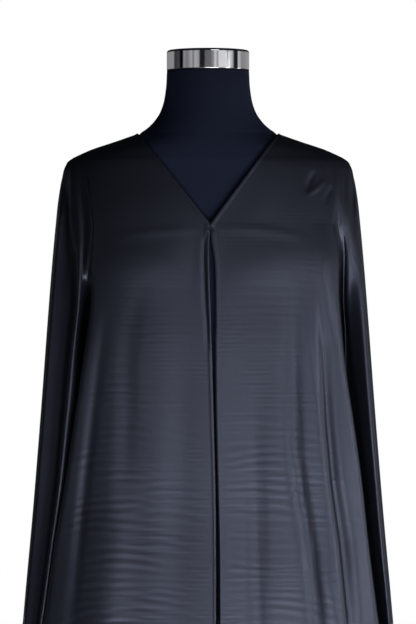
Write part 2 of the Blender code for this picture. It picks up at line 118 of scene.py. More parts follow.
LEFT_FOLDS = (
    Folds(1.298, 0.06, 0.105, 0.135, 0.16, 0.172, 0.182, 0.189, 0.1945),
    Folds(1.279, 0.07, 0.112, 0.141, 0.165, 0.1755, 0.1835, 0.19, 0.1955),
    Folds(1.198, 0.1, 0.13, 0.152, 0.1705, 0.1775, 0.185, 0.1915, 0.1992),
    Folds(1.117, 0.118, 0.144, 0.161, 0.1783, 0.185, 0.1915, 0.1975, 0.2045),
    Folds(1.037, 0.127, 0.153, 0.1705, 0.1901, 0.1953, 0.1995, 0.2035, 0.209),
    Folds(0.956, 0.131, 0.1587, 0.1783, 0.201, 0.206, 0.2095, 0.2125, 0.2165),
    Folds(0.875, 0.135, 0.1639, 0.188, 0.2098, 0.2145, 0.2175, 0.22, 0.2235),
    Folds(0.795, 0.143, 0.1744, 0.197, 0.22, 0.225, 0.228, 0.2305, 0.234),
    Folds(0.72, 0.15, 0.184, 0.207, 0.231, 0.2355, 0.238, 0.24, 0.243),
    Folds(0.4, 0.176, 0.218, 0.248, 0.279, 0.301, 0.301, 0.301, 0.301),
    Folds(0.075, 0.205, 0.258, 0.295, 0.332, 0.359, 0.359, 0.359, 0.359),
)
RIGHT_FOLDS = (
    Folds(1.298, 0.045, 0.085, 0.118, 0.148, 0.1545, 0.173, 0.1825, 0.194),
    Folds(1.279, 0.048, 0.088, 0.119, 0.1485, 0.155, 0.1725, 0.1815, 0.196),
    Folds(1.252, 0.052, 0.09, 0.121, 0.15, 0.1575, 0.1715, 0.1795, 0.199),
    Folds(1.198, 0.06, 0.095, 0.125, 0.1505, 0.16, 0.1725, 0.1795, 0.202),
    Folds(1.117, 0.07, 0.105, 0.135, 0.1626, 0.169, 0.1808, 0.187, 0.207),
    Folds(1.037, 0.078, 0.113, 0.1429, 0.1744, 0.1808, 0.1887, 0.194, 0.213),
    Folds(0.956, 0.084, 0.121, 0.1521, 0.1862, 0.1912, 0.1966, 0.2012, 0.2203),
    Folds(0.875, 0.09, 0.128, 0.16, 0.2, 0.2045, 0.2075, 0.211, 0.2275),
    Folds(0.795, 0.095, 0.135, 0.1678, 0.2105, 0.215, 0.218, 0.2215, 0.233),
    Folds(0.72, 0.102, 0.144, 0.179, 0.222, 0.227, 0.23, 0.233, 0.242),
    Folds(0.4, 0.14, 0.188, 0.23, 0.276, 0.301, 0.301, 0.301, 0.301),
    Folds(0.075, 0.18, 0.236, 0.285, 0.33, 0.359, 0.359, 0.359, 0.359),
)


class Opening(NamedTuple):
    """Where the two front edges hang at one height."""

    z: float
    right: float
    left: float


OPENING = (
    Opening(1.298, 0.002, 0.0034),
    Opening(1.279, 0.0006, 0.0048),
    Opening(1.252, 0.0006, 0.009),
    Opening(1.198, 0.0014, 0.0108),
    Opening(1.117, 0.0044, 0.0108),
    Opening(1.037, 0.0064, 0.0118),
    Opening(0.956, 0.0084, 0.0137),
    Opening(0.875, 0.0092, 0.0156),
    Opening(0.795, 0.0092, 0.0164),
    Opening(0.4, 0.01, 0.019),
    Opening(0.075, 0.01, 0.022),
)


def smooth_at(table: tuple, name: str, z: Array | float) -> Array:
    """One named column of a table at the heights z, on a curve without kinks.

    Args:
        table: Rows with a z, from the highest down.
        name: The column's name.
        z: One height or an array of them.

    Returns:
        The values, in the shape of z.
    """
    heights = np.array([row.z for row in table][::-1])
    values = np.array([getattr(row, name) for row in table][::-1])
    slopes = np.gradient(values, heights)
    z = np.clip(np.asarray(z, float), heights[0], heights[-1])
    i = np.clip(np.searchsorted(heights, z, side="right") - 1, 0, len(heights) - 2)
    step = heights[i + 1] - heights[i]
    t = (z - heights[i]) / step
    start = (1 + 2 * t) * (1 - t) ** 2 * values[i] + t * (1 - t) ** 2 * step * slopes[i]
    end = t * t * (3 - 2 * t) * values[i + 1] + t * t * (t - 1) * step * slopes[i + 1]
    return start + end


def ramp(value: Array | float, start: float, end: float) -> Array:
    """0 at start, 1 at end, easing in and out between them.

    Args:
        value: One value or an array of them.
        start: Where the ramp leaves 0.
        end: Where it reaches 1.

    Returns:
        The shares, in the shape of value.
    """
    t = np.clip((np.asarray(value, float) - start) / (end - start), 0.0, 1.0)
    return t * t * (3 - 2 * t)


def mix(a: Array | float, b: Array | float, share: Array | float) -> Array | float:
    """The value that lies this share of the way from a to b."""
    return a + (b - a) * share


def spread(controls: list, steps: tuple) -> Array:
    """Points on smooth curves through the controls.

    Args:
        controls: The control points' x and depth, each with one value a row.
        steps: How many steps each stretch between two controls has.

    Returns:
        The points, shaped (rows, sum of steps + 1, 2).
    """
    controls = np.stack([np.stack(pair, axis=1) for pair in controls], axis=1)
    found = [controls[:, 0]]
    last = controls.shape[1] - 1
    for i, count in enumerate(steps):
        before = controls[:, max(i - 1, 0)]
        a, b = controls[:, i], controls[:, i + 1]
        after = controls[:, min(i + 2, last)]
        for k in range(1, count + 1):
            t = k / count
            bend = (2 * before - 5 * a + 4 * b - after) * t * t
            twist = (3 * a - before - 3 * b + after) * t**3
            found.append((2 * a + (b - before) * t + bend + twist) / 2)
    return np.stack(found, axis=1)


def smooth_noise(x: Array, y: Array, seed: int) -> Array:
    """Seeded soft noise from -1 to 1 with a cell one unit wide.

    Args:
        x: First coordinate.
        y: Second coordinate, in the same shape.
        seed: Which noise it is.

    Returns:
        The noise, in the shape of x.
    """
    table = np.random.default_rng(seed).uniform(-1, 1, (64, 64))
    i, j = np.floor(x).astype(int), np.floor(y).astype(int)
    u, v = x - i, y - j
    u, v = u * u * (3 - 2 * u), v * v * (3 - 2 * v)
    low = mix(table[i % 64, j % 64], table[(i + 1) % 64, j % 64], u)
    high = mix(table[i % 64, (j + 1) % 64], table[(i + 1) % 64, (j + 1) % 64], u)
    return mix(low, high, v)


@dataclass(frozen=True)
class Crease:
    """A soft trough or ridge laid along a line of (x, z) points.

    Attributes:
        line: The points, seen from the front; x is the real X.
        width: Half width of the crease at its middle.
        height: How far it stands out; a trough's is negative.
    """

    line: tuple
    width: float
    height: float

    def relief(self, x: Array, z: Array) -> Array:
        """How far the crease lifts the cloth at each point.

        Args:
            x: The points' X.
            z: The points' Z.

        Returns:
            The lift in metres along the cloth's outward direction.
        """
        line = np.array(self.line, float)
        lengths = np.linalg.norm(np.diff(line, axis=0), axis=1)
        total = lengths.sum()
        nearest = np.full(x.shape, 1e9)
        along = np.zeros(x.shape)
        run = 0.0
        for start, end, length in zip(line, line[1:], lengths):
            across = end - start
            t = ((x - start[0]) * across[0] + (z - start[1]) * across[1]) / length**2
            t = np.clip(t, 0.0, 1.0)
            dx, dz = x - start[0] - t * across[0], z - start[1] - t * across[1]
            far = np.hypot(dx, dz)
            closer = far < nearest
            nearest = np.where(closer, far, nearest)
            along = np.where(closer, (run + t * length) / total, along)
            run += length
        fade = np.sin(np.pi * np.clip(along, 0.0, 1.0))
        return self.height * np.exp(-((nearest / self.width) ** 2)) * fade


@dataclass(frozen=True)
class Crinkles:
    """A patch of fine, nearly level crinkles, bowed like low arches.

    Attributes:
        centre: Middle of the patch as (x, z).
        reach: Half width and half height of the patch.
        spacing: Height from one crinkle to the next.
        height: How far a crinkle stands out.
        arch: How much an arch rises per metre squared from its middle.
        middle: The X of the arches' top.
        seed: Which unevenness the patch has.
        run: How long a crinkle goes on, sideways.
    """

    centre: tuple
    reach: tuple
    spacing: float
    height: float
    arch: float
    middle: float
    seed: int
    run: float = 0.055

    def relief(self, x: Array, z: Array) -> Array:
        """How far the crinkles lift the cloth at each point.

        Args:
            x: The points' X.
            z: The points' Z.

        Returns:
            The lift in metres.
        """
        bowed = z + self.arch * (x - self.middle) ** 2
        drift = smooth_noise(x / 0.09, z / 0.05, self.seed) * 0.55
        drift += smooth_noise(x / 0.03, z / 0.022, self.seed + 1) * 0.22
        phase = bowed / self.spacing + drift
        wave = np.cos(2 * np.pi * phase)
        sharp = 1 - 2 * np.abs(np.mod(phase, 1.0) - 0.5) * 2
        wave = 0.65 * wave + 0.35 * -sharp
        broken = smooth_noise(x / self.run, bowed / (self.spacing * 1.3), self.seed + 2)
        strength = np.clip(0.55 + 0.75 * broken, 0.0, 1.3)
        inside = np.hypot((x - self.centre[0]) / self.reach[0], (z - self.centre[1]) / self.reach[1])
        return self.height * wave * strength * (1 - ramp(inside, 0.15, 1.0))


@dataclass(frozen=True)
class HalfShape:
    """One half of the garment: its folds and where they begin.

    Attributes:
        half: Which half of the wearer it covers.
        folds: The table of its fold lines.
        opening: The column of OPENING that gives its front edge.
        fold_start: Height where the fold between body and sleeve begins.
        inner_share: How far up the sleeve's inner wall reaches before it turns forward.
        corner_share: How far the sleeve's inner corner sinks.
        dip_share: How far the sleeve's front has come from that corner to its crown's height.
        crown_share: How far that crown lies towards the pressed edge.
    """

    half: Half
    folds: tuple
    opening: str
    fold_start: float
    inner_share: float
    corner_share: float
    dip_share: float
    crown_share: float


LEFT_SHAPE = HalfShape(Half.LEFT, LEFT_FOLDS, "left", 1.352, 0.35, 0.58, 0.45, 0.7)
RIGHT_SHAPE = HalfShape(Half.RIGHT, RIGHT_FOLDS, "right", 1.252, 0.9, 0.03, 0.8, 0.35)


@dataclass(frozen=True)
class GarmentSections:
    """The garment's level sections, from the same sizes as the part's solids.

    Attributes:
        neck_x: Half width of the neck opening at the shoulder seams.
        neck_z: Height of the neck points.
        back_drop: How far the back neckline dips below them.
        v_z: Height of the point of the V.
        underarm_z: Height of the underarm.
        cuff_z: Height of the cuffs.
        hem_z: Height of the hem.
        tip_z: Height of the shoulder tips.
        front_steps: Columns between the fold lines of the body.
        sleeve_steps: Columns between the fold lines of the sleeve.
        neck_columns: Columns of the back across the neck.
        shoulder_rows: Rows from the shoulder seam to the point of the V.
        rim_columns: Columns of the back's strip round the rim.
        turn_columns: Columns round the front edge.
        hem_columns: Columns of the stitched hem along the front edge.
        hem: Width they cover.
        band: Width of the strip of back cloth that shows outside the overarm seam.
        turn: How far the front edge turns in.
        gap: Half the gap between the body's and the sleeve's walls.
        tube: How far the sleeve's front swells before its pressed edge.
        bite: How far the fold between them leans in below the underarm.
        lean: How much further its back walls lean in.
        bite_start: Height where the bite begins.
        bite_full: Height where it is full.
        rim_inset: How far inside the rim the back turns round it.
        rim_share: How much of the ridge's depth is left there.
        pressed: How much of the ridge's depth the pressed edge has.
        trough: How deep the body's long folds grow on the way down.
        hem_trough: How much deeper they get towards the hem.
    """

    neck_x: float = 0.095
    neck_z: float = 1.4212
    back_drop: float = 0.011
    v_z: float = 1.298
    underarm_z: float = 1.12
    cuff_z: float = 0.72
    hem_z: float = 0.075
    tip_z: float = 1.384
    front_steps: tuple = (15, 10, 9, 10, 5, 4, 4)
    sleeve_steps: tuple = (4, 4, 5, 6, 8, 6)
    neck_columns: int = 14
    rim_columns: int = 7
    turn_columns: int = 3
    hem_columns: int = 9
    hem: float = 0.0135
    shoulder_rows: int = 58
    band: float = 0.0075
    turn: float = 0.0005
    gap: float = 0.003
    tube: float = 0.0045
    bite: float = 0.01
    lean: float = 0.006
    bite_start: float = 1.17
    bite_full: float = 1.05
    rim_inset: float = 0.0008
    rim_share: float = 0.35
    pressed: float = 0.8
    trough: float = 0.012
    hem_trough: float = 0.016

    def depth(self, x: Array, z: Array, face: Face) -> Array:
        """How far in front of, or behind, the side plane the bare outline lies.

        Args:
            x: Distances from the middle.
            z: Heights.
            face: Chest or back.

        Returns:
            The depths in metres.
        """
        rim = smooth_at(OUTLINE, "rim", z)
        power = smooth_at(OUTLINE, "power", z)
        depth = smooth_at(OUTLINE, "front" if face is Face.FRONT else "back", z)
        inside = np.maximum(1.0 - np.minimum(np.abs(x) / rim, 1.0) ** power, 0.0)
        return depth * inside ** (1 / power)

    def fold_share(self, shape: HalfShape, z: Array) -> Array:
        """How deep the fold between body and sleeve is: 0 above its start, 1 at the underarm."""
        share = ramp(z, shape.fold_start, self.underarm_z)
        return np.where(z > self.underarm_z, share, 1.0)

    def bitten(self, z: Array) -> Array:
        """How much of its bite the fold between body and sleeve has at each height."""
        return ramp(z, self.bite_start, self.bite_full) * ramp(z, 0.45, self.cuff_z)

    def body(self, shape: HalfShape, z: Array, face: Face) -> Array:
        """Sections (x, depth) from the middle edge to the side seam, or to the fold's bottom.

        Args:
            shape: Which half of the garment.
            z: The sections' heights.
            face: Chest or back.

        Returns:
            The points, shaped (rows, columns, 2).
        """
        at = {key: smooth_at(shape.folds, key, z) for key in Folds._fields[1:]}
        zero = np.zeros_like(z)
        sign = shape.half.value
        middle = zero if face is Face.BACK else sign * smooth_at(OPENING, shape.opening, z)
        share = self.fold_share(shape, z)
        bottom_x = at["valley"] - self.bite * self.bitten(z)
        bottom = self.depth(at["valley"], z, face) * (1 - share)
        trough = self.trough * ramp(z, 1.24, 0.3) + self.hem_trough * ramp(z, 0.8, self.hem_z)
        edge = self.depth(at["edge"], z, face)
        wall_x = bottom_x - np.where(z >= self.cuff_z, self.gap, 0.0)
        leaning_x = wall_x - self.lean * self.bitten(z) * (face is Face.BACK)

        def on_front(line: str, raised: float = 0.0) -> tuple:
            """A fold line's x and depth, raised by this share of the troughs' depth."""
            return at[line], self.depth(at[line], z, face) + raised * trough

        controls = [
            (middle, self.depth(middle, z, face)),
            on_front("trough_in", -0.3),
            on_front("swell", 0.15),
            on_front("trough_out", -0.4),
            on_front("edge"),
            (mix(at["edge"], leaning_x, 0.6), mix(edge, bottom, 0.25)),
            (leaning_x, mix(edge, bottom, 0.7)),
            (np.where(z >= self.underarm_z, bottom_x, wall_x), bottom),
        ]
        if face is Face.BACK:
            first = 0.45 * at["trough_in"]
            controls.insert(1, (first, self.depth(first, z, face)))
            steps = (self.neck_columns, *self.front_steps)
        else:
            turned = self.depth(middle, z, face) - 2 * self.turn
            inside = middle + self.hem
            controls.insert(1, (inside, self.depth(inside, z, face)))
            controls.insert(0, (middle - 0.3 * self.turn, turned))
            steps = (self.turn_columns, self.hem_columns, *self.front_steps)
        return spread(controls, steps)

    def sleeve(self, shape: HalfShape, z: Array, face: Face) -> Array:
        """Sections (x, depth) from the under-sleeve seam, or the fold, to the overarm seam.

        The front stops at a pressed edge a little inside the rim. The back goes on round the
        rim to meet it there.

        Args:
            shape: Which half of the garment.
            z: The sections' heights.
            face: Chest or back.

        Returns:
            The points, shaped (rows, columns, 2).
        """
        at = {key: smooth_at(shape.folds, key, z) for key in Folds._fields[1:]}
        rim = smooth_at(OUTLINE, "rim", z)
        share = self.fold_share(shape, z)
        bottom_x = at["valley"] - self.bite * ramp(z, self.bite_start, self.bite_full)
        bottom = self.depth(at["valley"], z, face) * (1 - share)
        corner = self.depth(at["corner"], z, face) * (1 - shape.corner_share * share)
        ridge = self.depth(at["ridge"], z, face)
        edge_x, edge = self.overarm(shape, z)
        crown = edge + self.tube * ramp(z, 1.36, 1.26)
        dip = self.depth(at["dip"], z, face)
        if face is Face.FRONT:
            dip = mix(dip, mix(corner, crown, shape.dip_share), ramp(z, 1.375, 1.2))
        wall_x = bottom_x + self.gap
        leaning_x = wall_x - self.lean * self.bitten(z) * (face is Face.BACK)
        controls = [
            (np.where(z >= self.underarm_z, bottom_x, wall_x), bottom),
            (leaning_x, mix(corner, bottom, 0.7)),
            (mix(leaning_x, at["corner"], 0.4), mix(bottom, corner, shape.inner_share)),
            (at["corner"], corner),
            (at["dip"], dip),
        ]
        if face is Face.FRONT:
            controls += [(mix(at["dip"], edge_x, shape.crown_share), crown), (edge_x, edge)]
        else:
            controls += [(at["ridge"], ridge), (rim - self.rim_inset, self.rim_share * ridge)]
        points = spread(controls, self.sleeve_steps)
        if face is Face.BACK:
            points = np.concatenate([points, self.round_rim(z, edge_x, edge, rim, ridge)], axis=1)
        return points

    def whole(self, shape: HalfShape, z: Array, face: Face) -> Array:
        """The body's and the sleeve's sections in one row each."""
        return np.concatenate(
            [self.body(shape, z, face), self.sleeve(shape, z, face)[:, 1:]], axis=1
        )

    def overarm(self, shape: HalfShape, z: Array) -> tuple:
        """(x, depth) of the pressed edge where the front meets the back along the overarm.

        Args:
            shape: Which half of the garment.
            z: Heights.

        Returns:
            Two arrays: the distance from the middle, and the depth in front of the side plane.
        """
        rim = smooth_at(OUTLINE, "rim", z)
        drawn_in = ramp(z, self.tip_z - 0.004, self.tip_z - 0.075)
        ridge = self.depth(smooth_at(shape.folds, "ridge", z), z, Face.FRONT)
        return rim - self.band * drawn_in, ridge * self.pressed * drawn_in

    def round_rim(self, z: Array, edge_x: Array, edge: Array, rim: Array, ridge: Array) -> Array:
        """The back's strip round the rim, from behind it to the front's pressed edge."""
        found = []
        for k in range(1, self.rim_columns + 1):
            t = k / self.rim_columns
            depth = mix(self.rim_share * ridge, -edge, t)
            bulge = np.sqrt(max(1 - (2 * t - 1) ** 2, 0.0))
            x = mix(rim - self.rim_inset, edge_x, t**2.2) + self.rim_inset * bulge * (1 - t)
            found.append(np.stack([np.minimum(x, rim), depth], axis=1))
        return np.stack(found, axis=1)

    def shoulder_height(self, x: Array) -> Array:
        """The height of the shoulder seam, or of the back neckline inside the neck point."""
        rows = [row for row in OUTLINE if row.z >= self.tip_z]
        seam = np.interp(x, [row.rim for row in rows], [row.z for row in rows])
        neckline = self.neck_z - self.back_drop * (1 - (x / self.neck_x) ** 2)
        return np.where(x < self.neck_x, neckline, seam)

    def shoulder(self, shape: HalfShape, face: Face) -> Array:
        """Rows (x, depth, z) from the shoulder seam down to the height of the V's point.

        Args:
            shape: Which half of the garment.
            face: Chest or back.

        Returns:
            The points, shaped (rows, columns, 3). The last row is the first level section's.
        """
        tip = float(smooth_at(OUTLINE, "rim", self.tip_z))
        last = self.whole(shape, np.array([self.v_z]), face)[0]
        front = self.whole(shape, np.array([self.v_z]), Face.FRONT)[0]
        is_back = face is Face.BACK
        first = self.turn_columns
        start = front[first, 0]
        shares = (front[:, 0] - start) / (front[-1, 0] - start)
        top = mix(self.neck_x, tip, shares)
        lead = self.neck_columns if is_back else first
        if is_back:
            across = self.neck_x * np.sin(0.5 * np.pi * np.arange(lead + 1) / lead)
            beyond = top[first + self.hem_columns + 1 :]
            top = np.concatenate([across, beyond, np.full(self.rim_columns, tip)])
        inner = len(top) - (self.rim_columns if is_back else 0)
        down = (np.linspace(0, 1, self.shoulder_rows + 1) ** 1.25)[:, None]
        x = mix(top[None, :], last[None, :, 0], down)
        z = mix(self.shoulder_height(top)[None, :], self.v_z, down) + 0 * x
        end = z[:, inner - 1]
        rim = smooth_at(OUTLINE, "rim", end)
        reach = rim - self.rim_inset * down[:, 0] if is_back else self.overarm(shape, end)[0]
        outer = np.clip((np.arange(inner) - lead) / (inner - 1 - lead), 0, 1) ** 6
        x[:, :inner] += (reach - x[:, inner - 1])[:, None] * outer[None, :]
        depth = self.depth(x, z, face)
        rows = mix(self.tip_z, self.v_z, down[:, 0])
        level = self.whole(shape, rows, face)
        bare = np.maximum(self.depth(level[:, :, 0], rows[:, None], face), 0.001)
        depth *= mix(1.0, level[:, :, 1] / bare, ramp(down, 0.0, 1.0))
        depth[0, lead:inner] = 0.0
        if is_back:
            rows = z[:, -1]
            edge_x, edge = self.overarm(shape, rows)
            ridge = depth[:, inner - 1] / self.rim_share
            strip = self.round_rim(rows, edge_x, edge, rim, ridge)
            x[:, inner:] = strip[:, :, 0]
            depth[:, inner:] = strip[:, :, 1]
            depth[0, inner:] = 0.0
        else:
            depth[0, :lead] = 0.0
        return np.stack([x, depth, z], axis=2)


class Finish:
    """Small helpers for building node materials."""

    @staticmethod
    def start(name: str, surface: dict) -> tuple:
        """A new node material with its shader's plain values.

        Args:
            name: The material's name.
            surface: The shader's values by socket.

        Returns:
            The material, its node tree and its Principled shader.
        """
        material = bpy.data.materials.new(name)
        material.use_nodes = True
        shader = material.node_tree.nodes["Principled BSDF"]
        Finish.feed(material.node_tree, shader, surface)
        return material, material.node_tree, shader

    @staticmethod
    def group(name: str, inputs: dict, outputs: dict) -> tuple:
        """A new shader node group with its sockets.

        Args:
            name: The group's name.
            inputs: Socket kinds and first values by name.
            outputs: Socket kinds by name.

        Returns:
            The group, its input node and its output node.
        """
        tree = bpy.data.node_groups.new(name, "ShaderNodeTree")
        for key, (kind, value) in inputs.items():
            socket = tree.interface.new_socket(key, in_out="INPUT", socket_type=kind)
            if value is not None:
                socket.default_value = value
        for key, kind in outputs.items():
            tree.interface.new_socket(key, in_out="OUTPUT", socket_type=kind)
        return tree, tree.nodes.new("NodeGroupInput"), tree.nodes.new("NodeGroupOutput")

    @staticmethod
    def feed(tree: bpy.types.NodeTree, node: bpy.types.Node, inputs: dict) -> None:
        """Sets or links a node's inputs.

        Args:
            tree: The node tree.
            node: The node.
            inputs: Values, or sockets to link, by name or number.
        """
        for key, value in inputs.items():
            if isinstance(value, bpy.types.NodeSocket):
                tree.links.new(value, node.inputs[key])
            else:
                node.inputs[key].default_value = value

    @staticmethod
    def node(
        tree: bpy.types.NodeTree, kind: str, inputs: dict | None = None, **settings: object
    ) -> bpy.types.Node:
        """A new shader node.

        Args:
            tree: The node tree.
            kind: The node's kind, without its family name.
            inputs: Values, or sockets to link, by name or number.
            settings: The node's own settings.

        Returns:
            The node.
        """
        node = tree.nodes.new(f"ShaderNode{kind}")
        for key, value in settings.items():
            setattr(node, key, value)
        Finish.feed(tree, node, inputs or {})
        return node

    @staticmethod
    def math(tree: bpy.types.NodeTree, kind: str, *values: object) -> bpy.types.NodeSocket:
        """The output of a Math node with each value set or linked."""
        return Finish.node(tree, "Math", dict(enumerate(values)), operation=kind).outputs[0]

    @staticmethod
    def tone(tree: bpy.types.NodeTree, share: object, first: object, last: object) -> object:
        """The colour that lies this share of the way between two colours."""
        colours = {"A": first, "B": last, "Factor": share}
        return Finish.node(tree, "Mix", colours, data_type="RGBA").outputs["Result"]

    @staticmethod
    def span(tree: bpy.types.NodeTree, value: object, **ends: float) -> bpy.types.NodeSocket:
        """The output of a Map Range node whose ends are named as its sockets, such as To_Min."""
        sockets = {key.replace("_", " "): end for key, end in ends.items()}
        return Finish.node(tree, "MapRange", {**sockets, "Value": value}).outputs[0]

    @staticmethod
    def object_place(tree: bpy.types.NodeTree) -> bpy.types.NodeSocket:
        """The place on the piece, in its own coordinates."""
        return Finish.node(tree, "TexCoord").outputs["Object"]


def weave_group() -> bpy.types.NodeTree:
    """The fine cloth surface that satin, jersey and thread share: weave, slubs and unevenness.

    Returns:
        A group with Height and Mask outputs from a position across the cloth in metres.
    """
    sockets = {
        "Place": ("NodeSocketVector", None),
        "Warp spacing": ("NodeSocketFloat", 0.0006),
        "Weft spacing": ("NodeSocketFloat", 0.0006),
        "Unevenness": ("NodeSocketFloat", 0.5),
    }
    tree, first, last = Finish.group(
        "fine_weave", sockets, {"Height": "NodeSocketFloat", "Mask": "NodeSocketFloat"}
    )
    place = first.outputs["Place"]
    apart = Finish.node(tree, "SeparateXYZ", {0: place})
    turns = []
    for axis, name in ((0, "Warp spacing"), (2, "Weft spacing")):
        count = Finish.math(tree, "DIVIDE", apart.outputs[axis], first.outputs[name])
        turns.append(Finish.math(tree, "SINE", Finish.math(tree, "MULTIPLY", count, math.tau)))
    grain = Finish.math(tree, "MULTIPLY", *turns)
    cloud = Finish.node(tree, "TexNoise", {"Scale": 14.0, "Detail": 3.0, "Vector": place}).outputs[0]
    uneven = Finish.math(tree, "MULTIPLY", cloud, first.outputs["Unevenness"])
    height = Finish.math(tree, "MULTIPLY_ADD", grain, 0.5, uneven)
    Finish.feed(tree, last, {"Height": height, "Mask": cloud})
    return tree


def crinkle_group() -> bpy.types.NodeTree:
    """The thin level crinkles of a pressed satin, broken and bowed by low noise.

    Returns:
        A group with a Height output from a position across the cloth in metres.
    """
    sockets = {
        "Place": ("NodeSocketVector", None),
        "Spacing": ("NodeSocketFloat", 0.006),
        "Wander": ("NodeSocketFloat", 0.006),
    }
    tree, first, last = Finish.group("level_crinkles", sockets, {"Height": "NodeSocketFloat"})
    place = first.outputs["Place"]
    stretch = Finish.node(tree, "Mapping", {"Scale": (16.0, 16.0, 60.0), "Vector": place})
    wander = Finish.node(
        tree, "TexNoise", {"Scale": 1.0, "Detail": 2.0, "Vector": stretch.outputs[0]}
    )
    apart = Finish.node(tree, "SeparateXYZ", {0: place})
    shift = Finish.math(tree, "MULTIPLY", wander.outputs[0], first.outputs["Wander"])
    level = Finish.math(tree, "ADD", apart.outputs[2], shift)
    count = Finish.math(tree, "DIVIDE", level, first.outputs["Spacing"])
    wave = Finish.math(tree, "PINGPONG", count, 0.5)
    soft = Finish.math(tree, "POWER", Finish.math(tree, "MULTIPLY", wave, 2.0), 1.6)
    patches = Finish.node(tree, "TexNoise", {"Scale": 22.0, "Detail": 1.0, "Vector": place})
    strength = Finish.span(tree, patches.outputs[0], From_Min=0.42, From_Max=0.68)
    Finish.feed(tree, last, {"Height": Finish.math(tree, "MULTIPLY", soft, strength)})
    return tree


@dataclass(frozen=True)
class SatinFinish:
    """Near-black charcoal satin with a faint blue cast.

    Attributes:
        name: The material's name.
        colour: Its deep base colour.
        worn: The slightly paler colour of its raised and worn places.
        roughness: How soft its gloss is.
        tint: The colour of its gloss.
        specular: How strong its gloss is.
        crinkle: How far the fine crinkles stand out.
    """

    name: str = "black_satin"
    colour: tuple = (0.007, 0.008, 0.012)
    worn: tuple = (0.0095, 0.0105, 0.0155)
    tint: tuple = (0.66, 0.72, 1.0)
    roughness: float = 0.44
    specular: float = 0.9
    crinkle: float = 0.00012

    def make(self, weave: bpy.types.NodeTree, crinkles: bpy.types.NodeTree) -> bpy.types.Material:
        """The satin's material.

        Args:
            weave: The fine weave group.
            crinkles: The level crinkles group.

        Returns:
            The material.
        """
        gloss = {"Specular IOR Level": self.specular, "Specular Tint": (*self.tint, 1.0)}
        material, tree, shader = Finish.start(self.name, {**gloss, "Sheen Weight": 0.0})
        place = Finish.node(tree, "Attribute", attribute_name="cloth").outputs["Vector"]
        woven = {"Warp spacing": 0.0007, "Weft spacing": 0.0009, "Unevenness": 0.6, "Place": place}
        fine = Finish.node(tree, "Group", woven, node_tree=weave)
        level = Finish.node(tree, "Group", {"Place": place}, node_tree=crinkles)
        mask = fine.outputs["Mask"]
        folds = Finish.node(tree, "Bump", {
            "Distance": self.crinkle, "Strength": 0.55, "Height": level.outputs["Height"],
        })
        grain = Finish.node(tree, "Bump", {
            "Distance": 0.00005, "Strength": 0.35, "Height": fine.outputs["Height"],
            "Normal": folds.outputs[0],
        })
        rough = {"To_Min": self.roughness - 0.04, "To_Max": self.roughness + 0.05}
        Finish.feed(tree, shader, {
            "Base Color": Finish.tone(tree, mask, (*self.colour, 1.0), (*self.worn, 1.0)),
            "Roughness": Finish.span(tree, mask, **rough),
            "Normal": grain.outputs[0],
        })
        return material


@dataclass(frozen=True)
class JerseyFinish:
    """The navy knit cover of the dress form.

    Attributes:
        name: The material's name.
        colour: Its base colour.
        pale: The paler colour the cover is painted lower on the neck, out of its painted shade; the
            knit's grain also shifts it this way.
        painted_shade_z: Height where the painted shade under the cap is deepest.
        painted_shade_end_z: Height where the painted shade has given way to the pale colour.
        rib: Spacing of its knit ribs.
    """

    name: str = "navy_jersey"
    colour: tuple = (0.0042, 0.006, 0.0145)
    pale: tuple = (0.0125, 0.0165, 0.036)
    painted_shade_z: float = 1.52
    painted_shade_end_z: float = 1.38
    rib: float = 0.0011

    def make(self, weave: bpy.types.NodeTree) -> bpy.types.Material:
        """The cover's material.

        Args:
            weave: The fine weave group.

        Returns:
            The material.
        """
        material, tree, shader = Finish.start(self.name, {
            "Roughness": 0.85, "Specular IOR Level": 0.12, "Sheen Weight": 0.06,
            "Sheen Roughness": 0.5, "Sheen Tint": (0.35, 0.48, 1.0, 1.0),
        })
        place = Finish.object_place(tree)
        ribs = {"Warp spacing": self.rib, "Weft spacing": self.rib * 1.3, "Unevenness": 0.4}
        fine = Finish.node(tree, "Group", {**ribs, "Place": place}, node_tree=weave)
        height = fine.outputs["Height"]
        apart = Finish.node(tree, "SeparateXYZ", {0: place})
        # Painted shade: the cover is painted darker towards the top of the neck, under the chrome cap,
        # and paler lower down.
        out_of_painted_shade = Finish.span(tree, apart.outputs[2], From_Min=self.painted_shade_z, From_Max=self.painted_shade_end_z)
        shade = Finish.math(tree, "ADD", out_of_painted_shade, Finish.math(tree, "MULTIPLY", height, 0.25))
        bump = Finish.node(tree, "Bump", {"Distance": 0.00025, "Strength": 0.5, "Height": height})
        Finish.feed(tree, shader, {
            "Base Color": Finish.tone(tree, shade, (*self.colour, 1.0), (*self.pale, 1.0)),
            "Normal": bump.outputs[0],
        })
        return material


@dataclass(frozen=True)
class MetalFinish:
    """A plated or lacquered metal.

    Attributes:
        name: The material's name.
        colour: Its colour.
        roughness: How soft its reflections are.
        metallic: How metallic it is.
        smear: How much handling varies its gloss.
    """

    name: str
    colour: tuple
    roughness: float
    metallic: float = 1.0
    smear: float = 0.05

    def make(self) -> bpy.types.Material:
        """The metal's material.

        Returns:
            The material.
        """
        surface = {"Base Color": (*self.colour, 1.0), "Metallic": self.metallic}
        material, tree, shader = Finish.start(self.name, surface)
        noise = {"Scale": 45.0, "Detail": 4.0, "Vector": Finish.object_place(tree)}
        smears = Finish.node(tree, "TexNoise", noise).outputs[0]
        ends = {"To_Min": self.roughness, "To_Max": self.roughness + self.smear}
        Finish.feed(tree, shader, {"Roughness": Finish.span(tree, smears, **ends)})
        return material


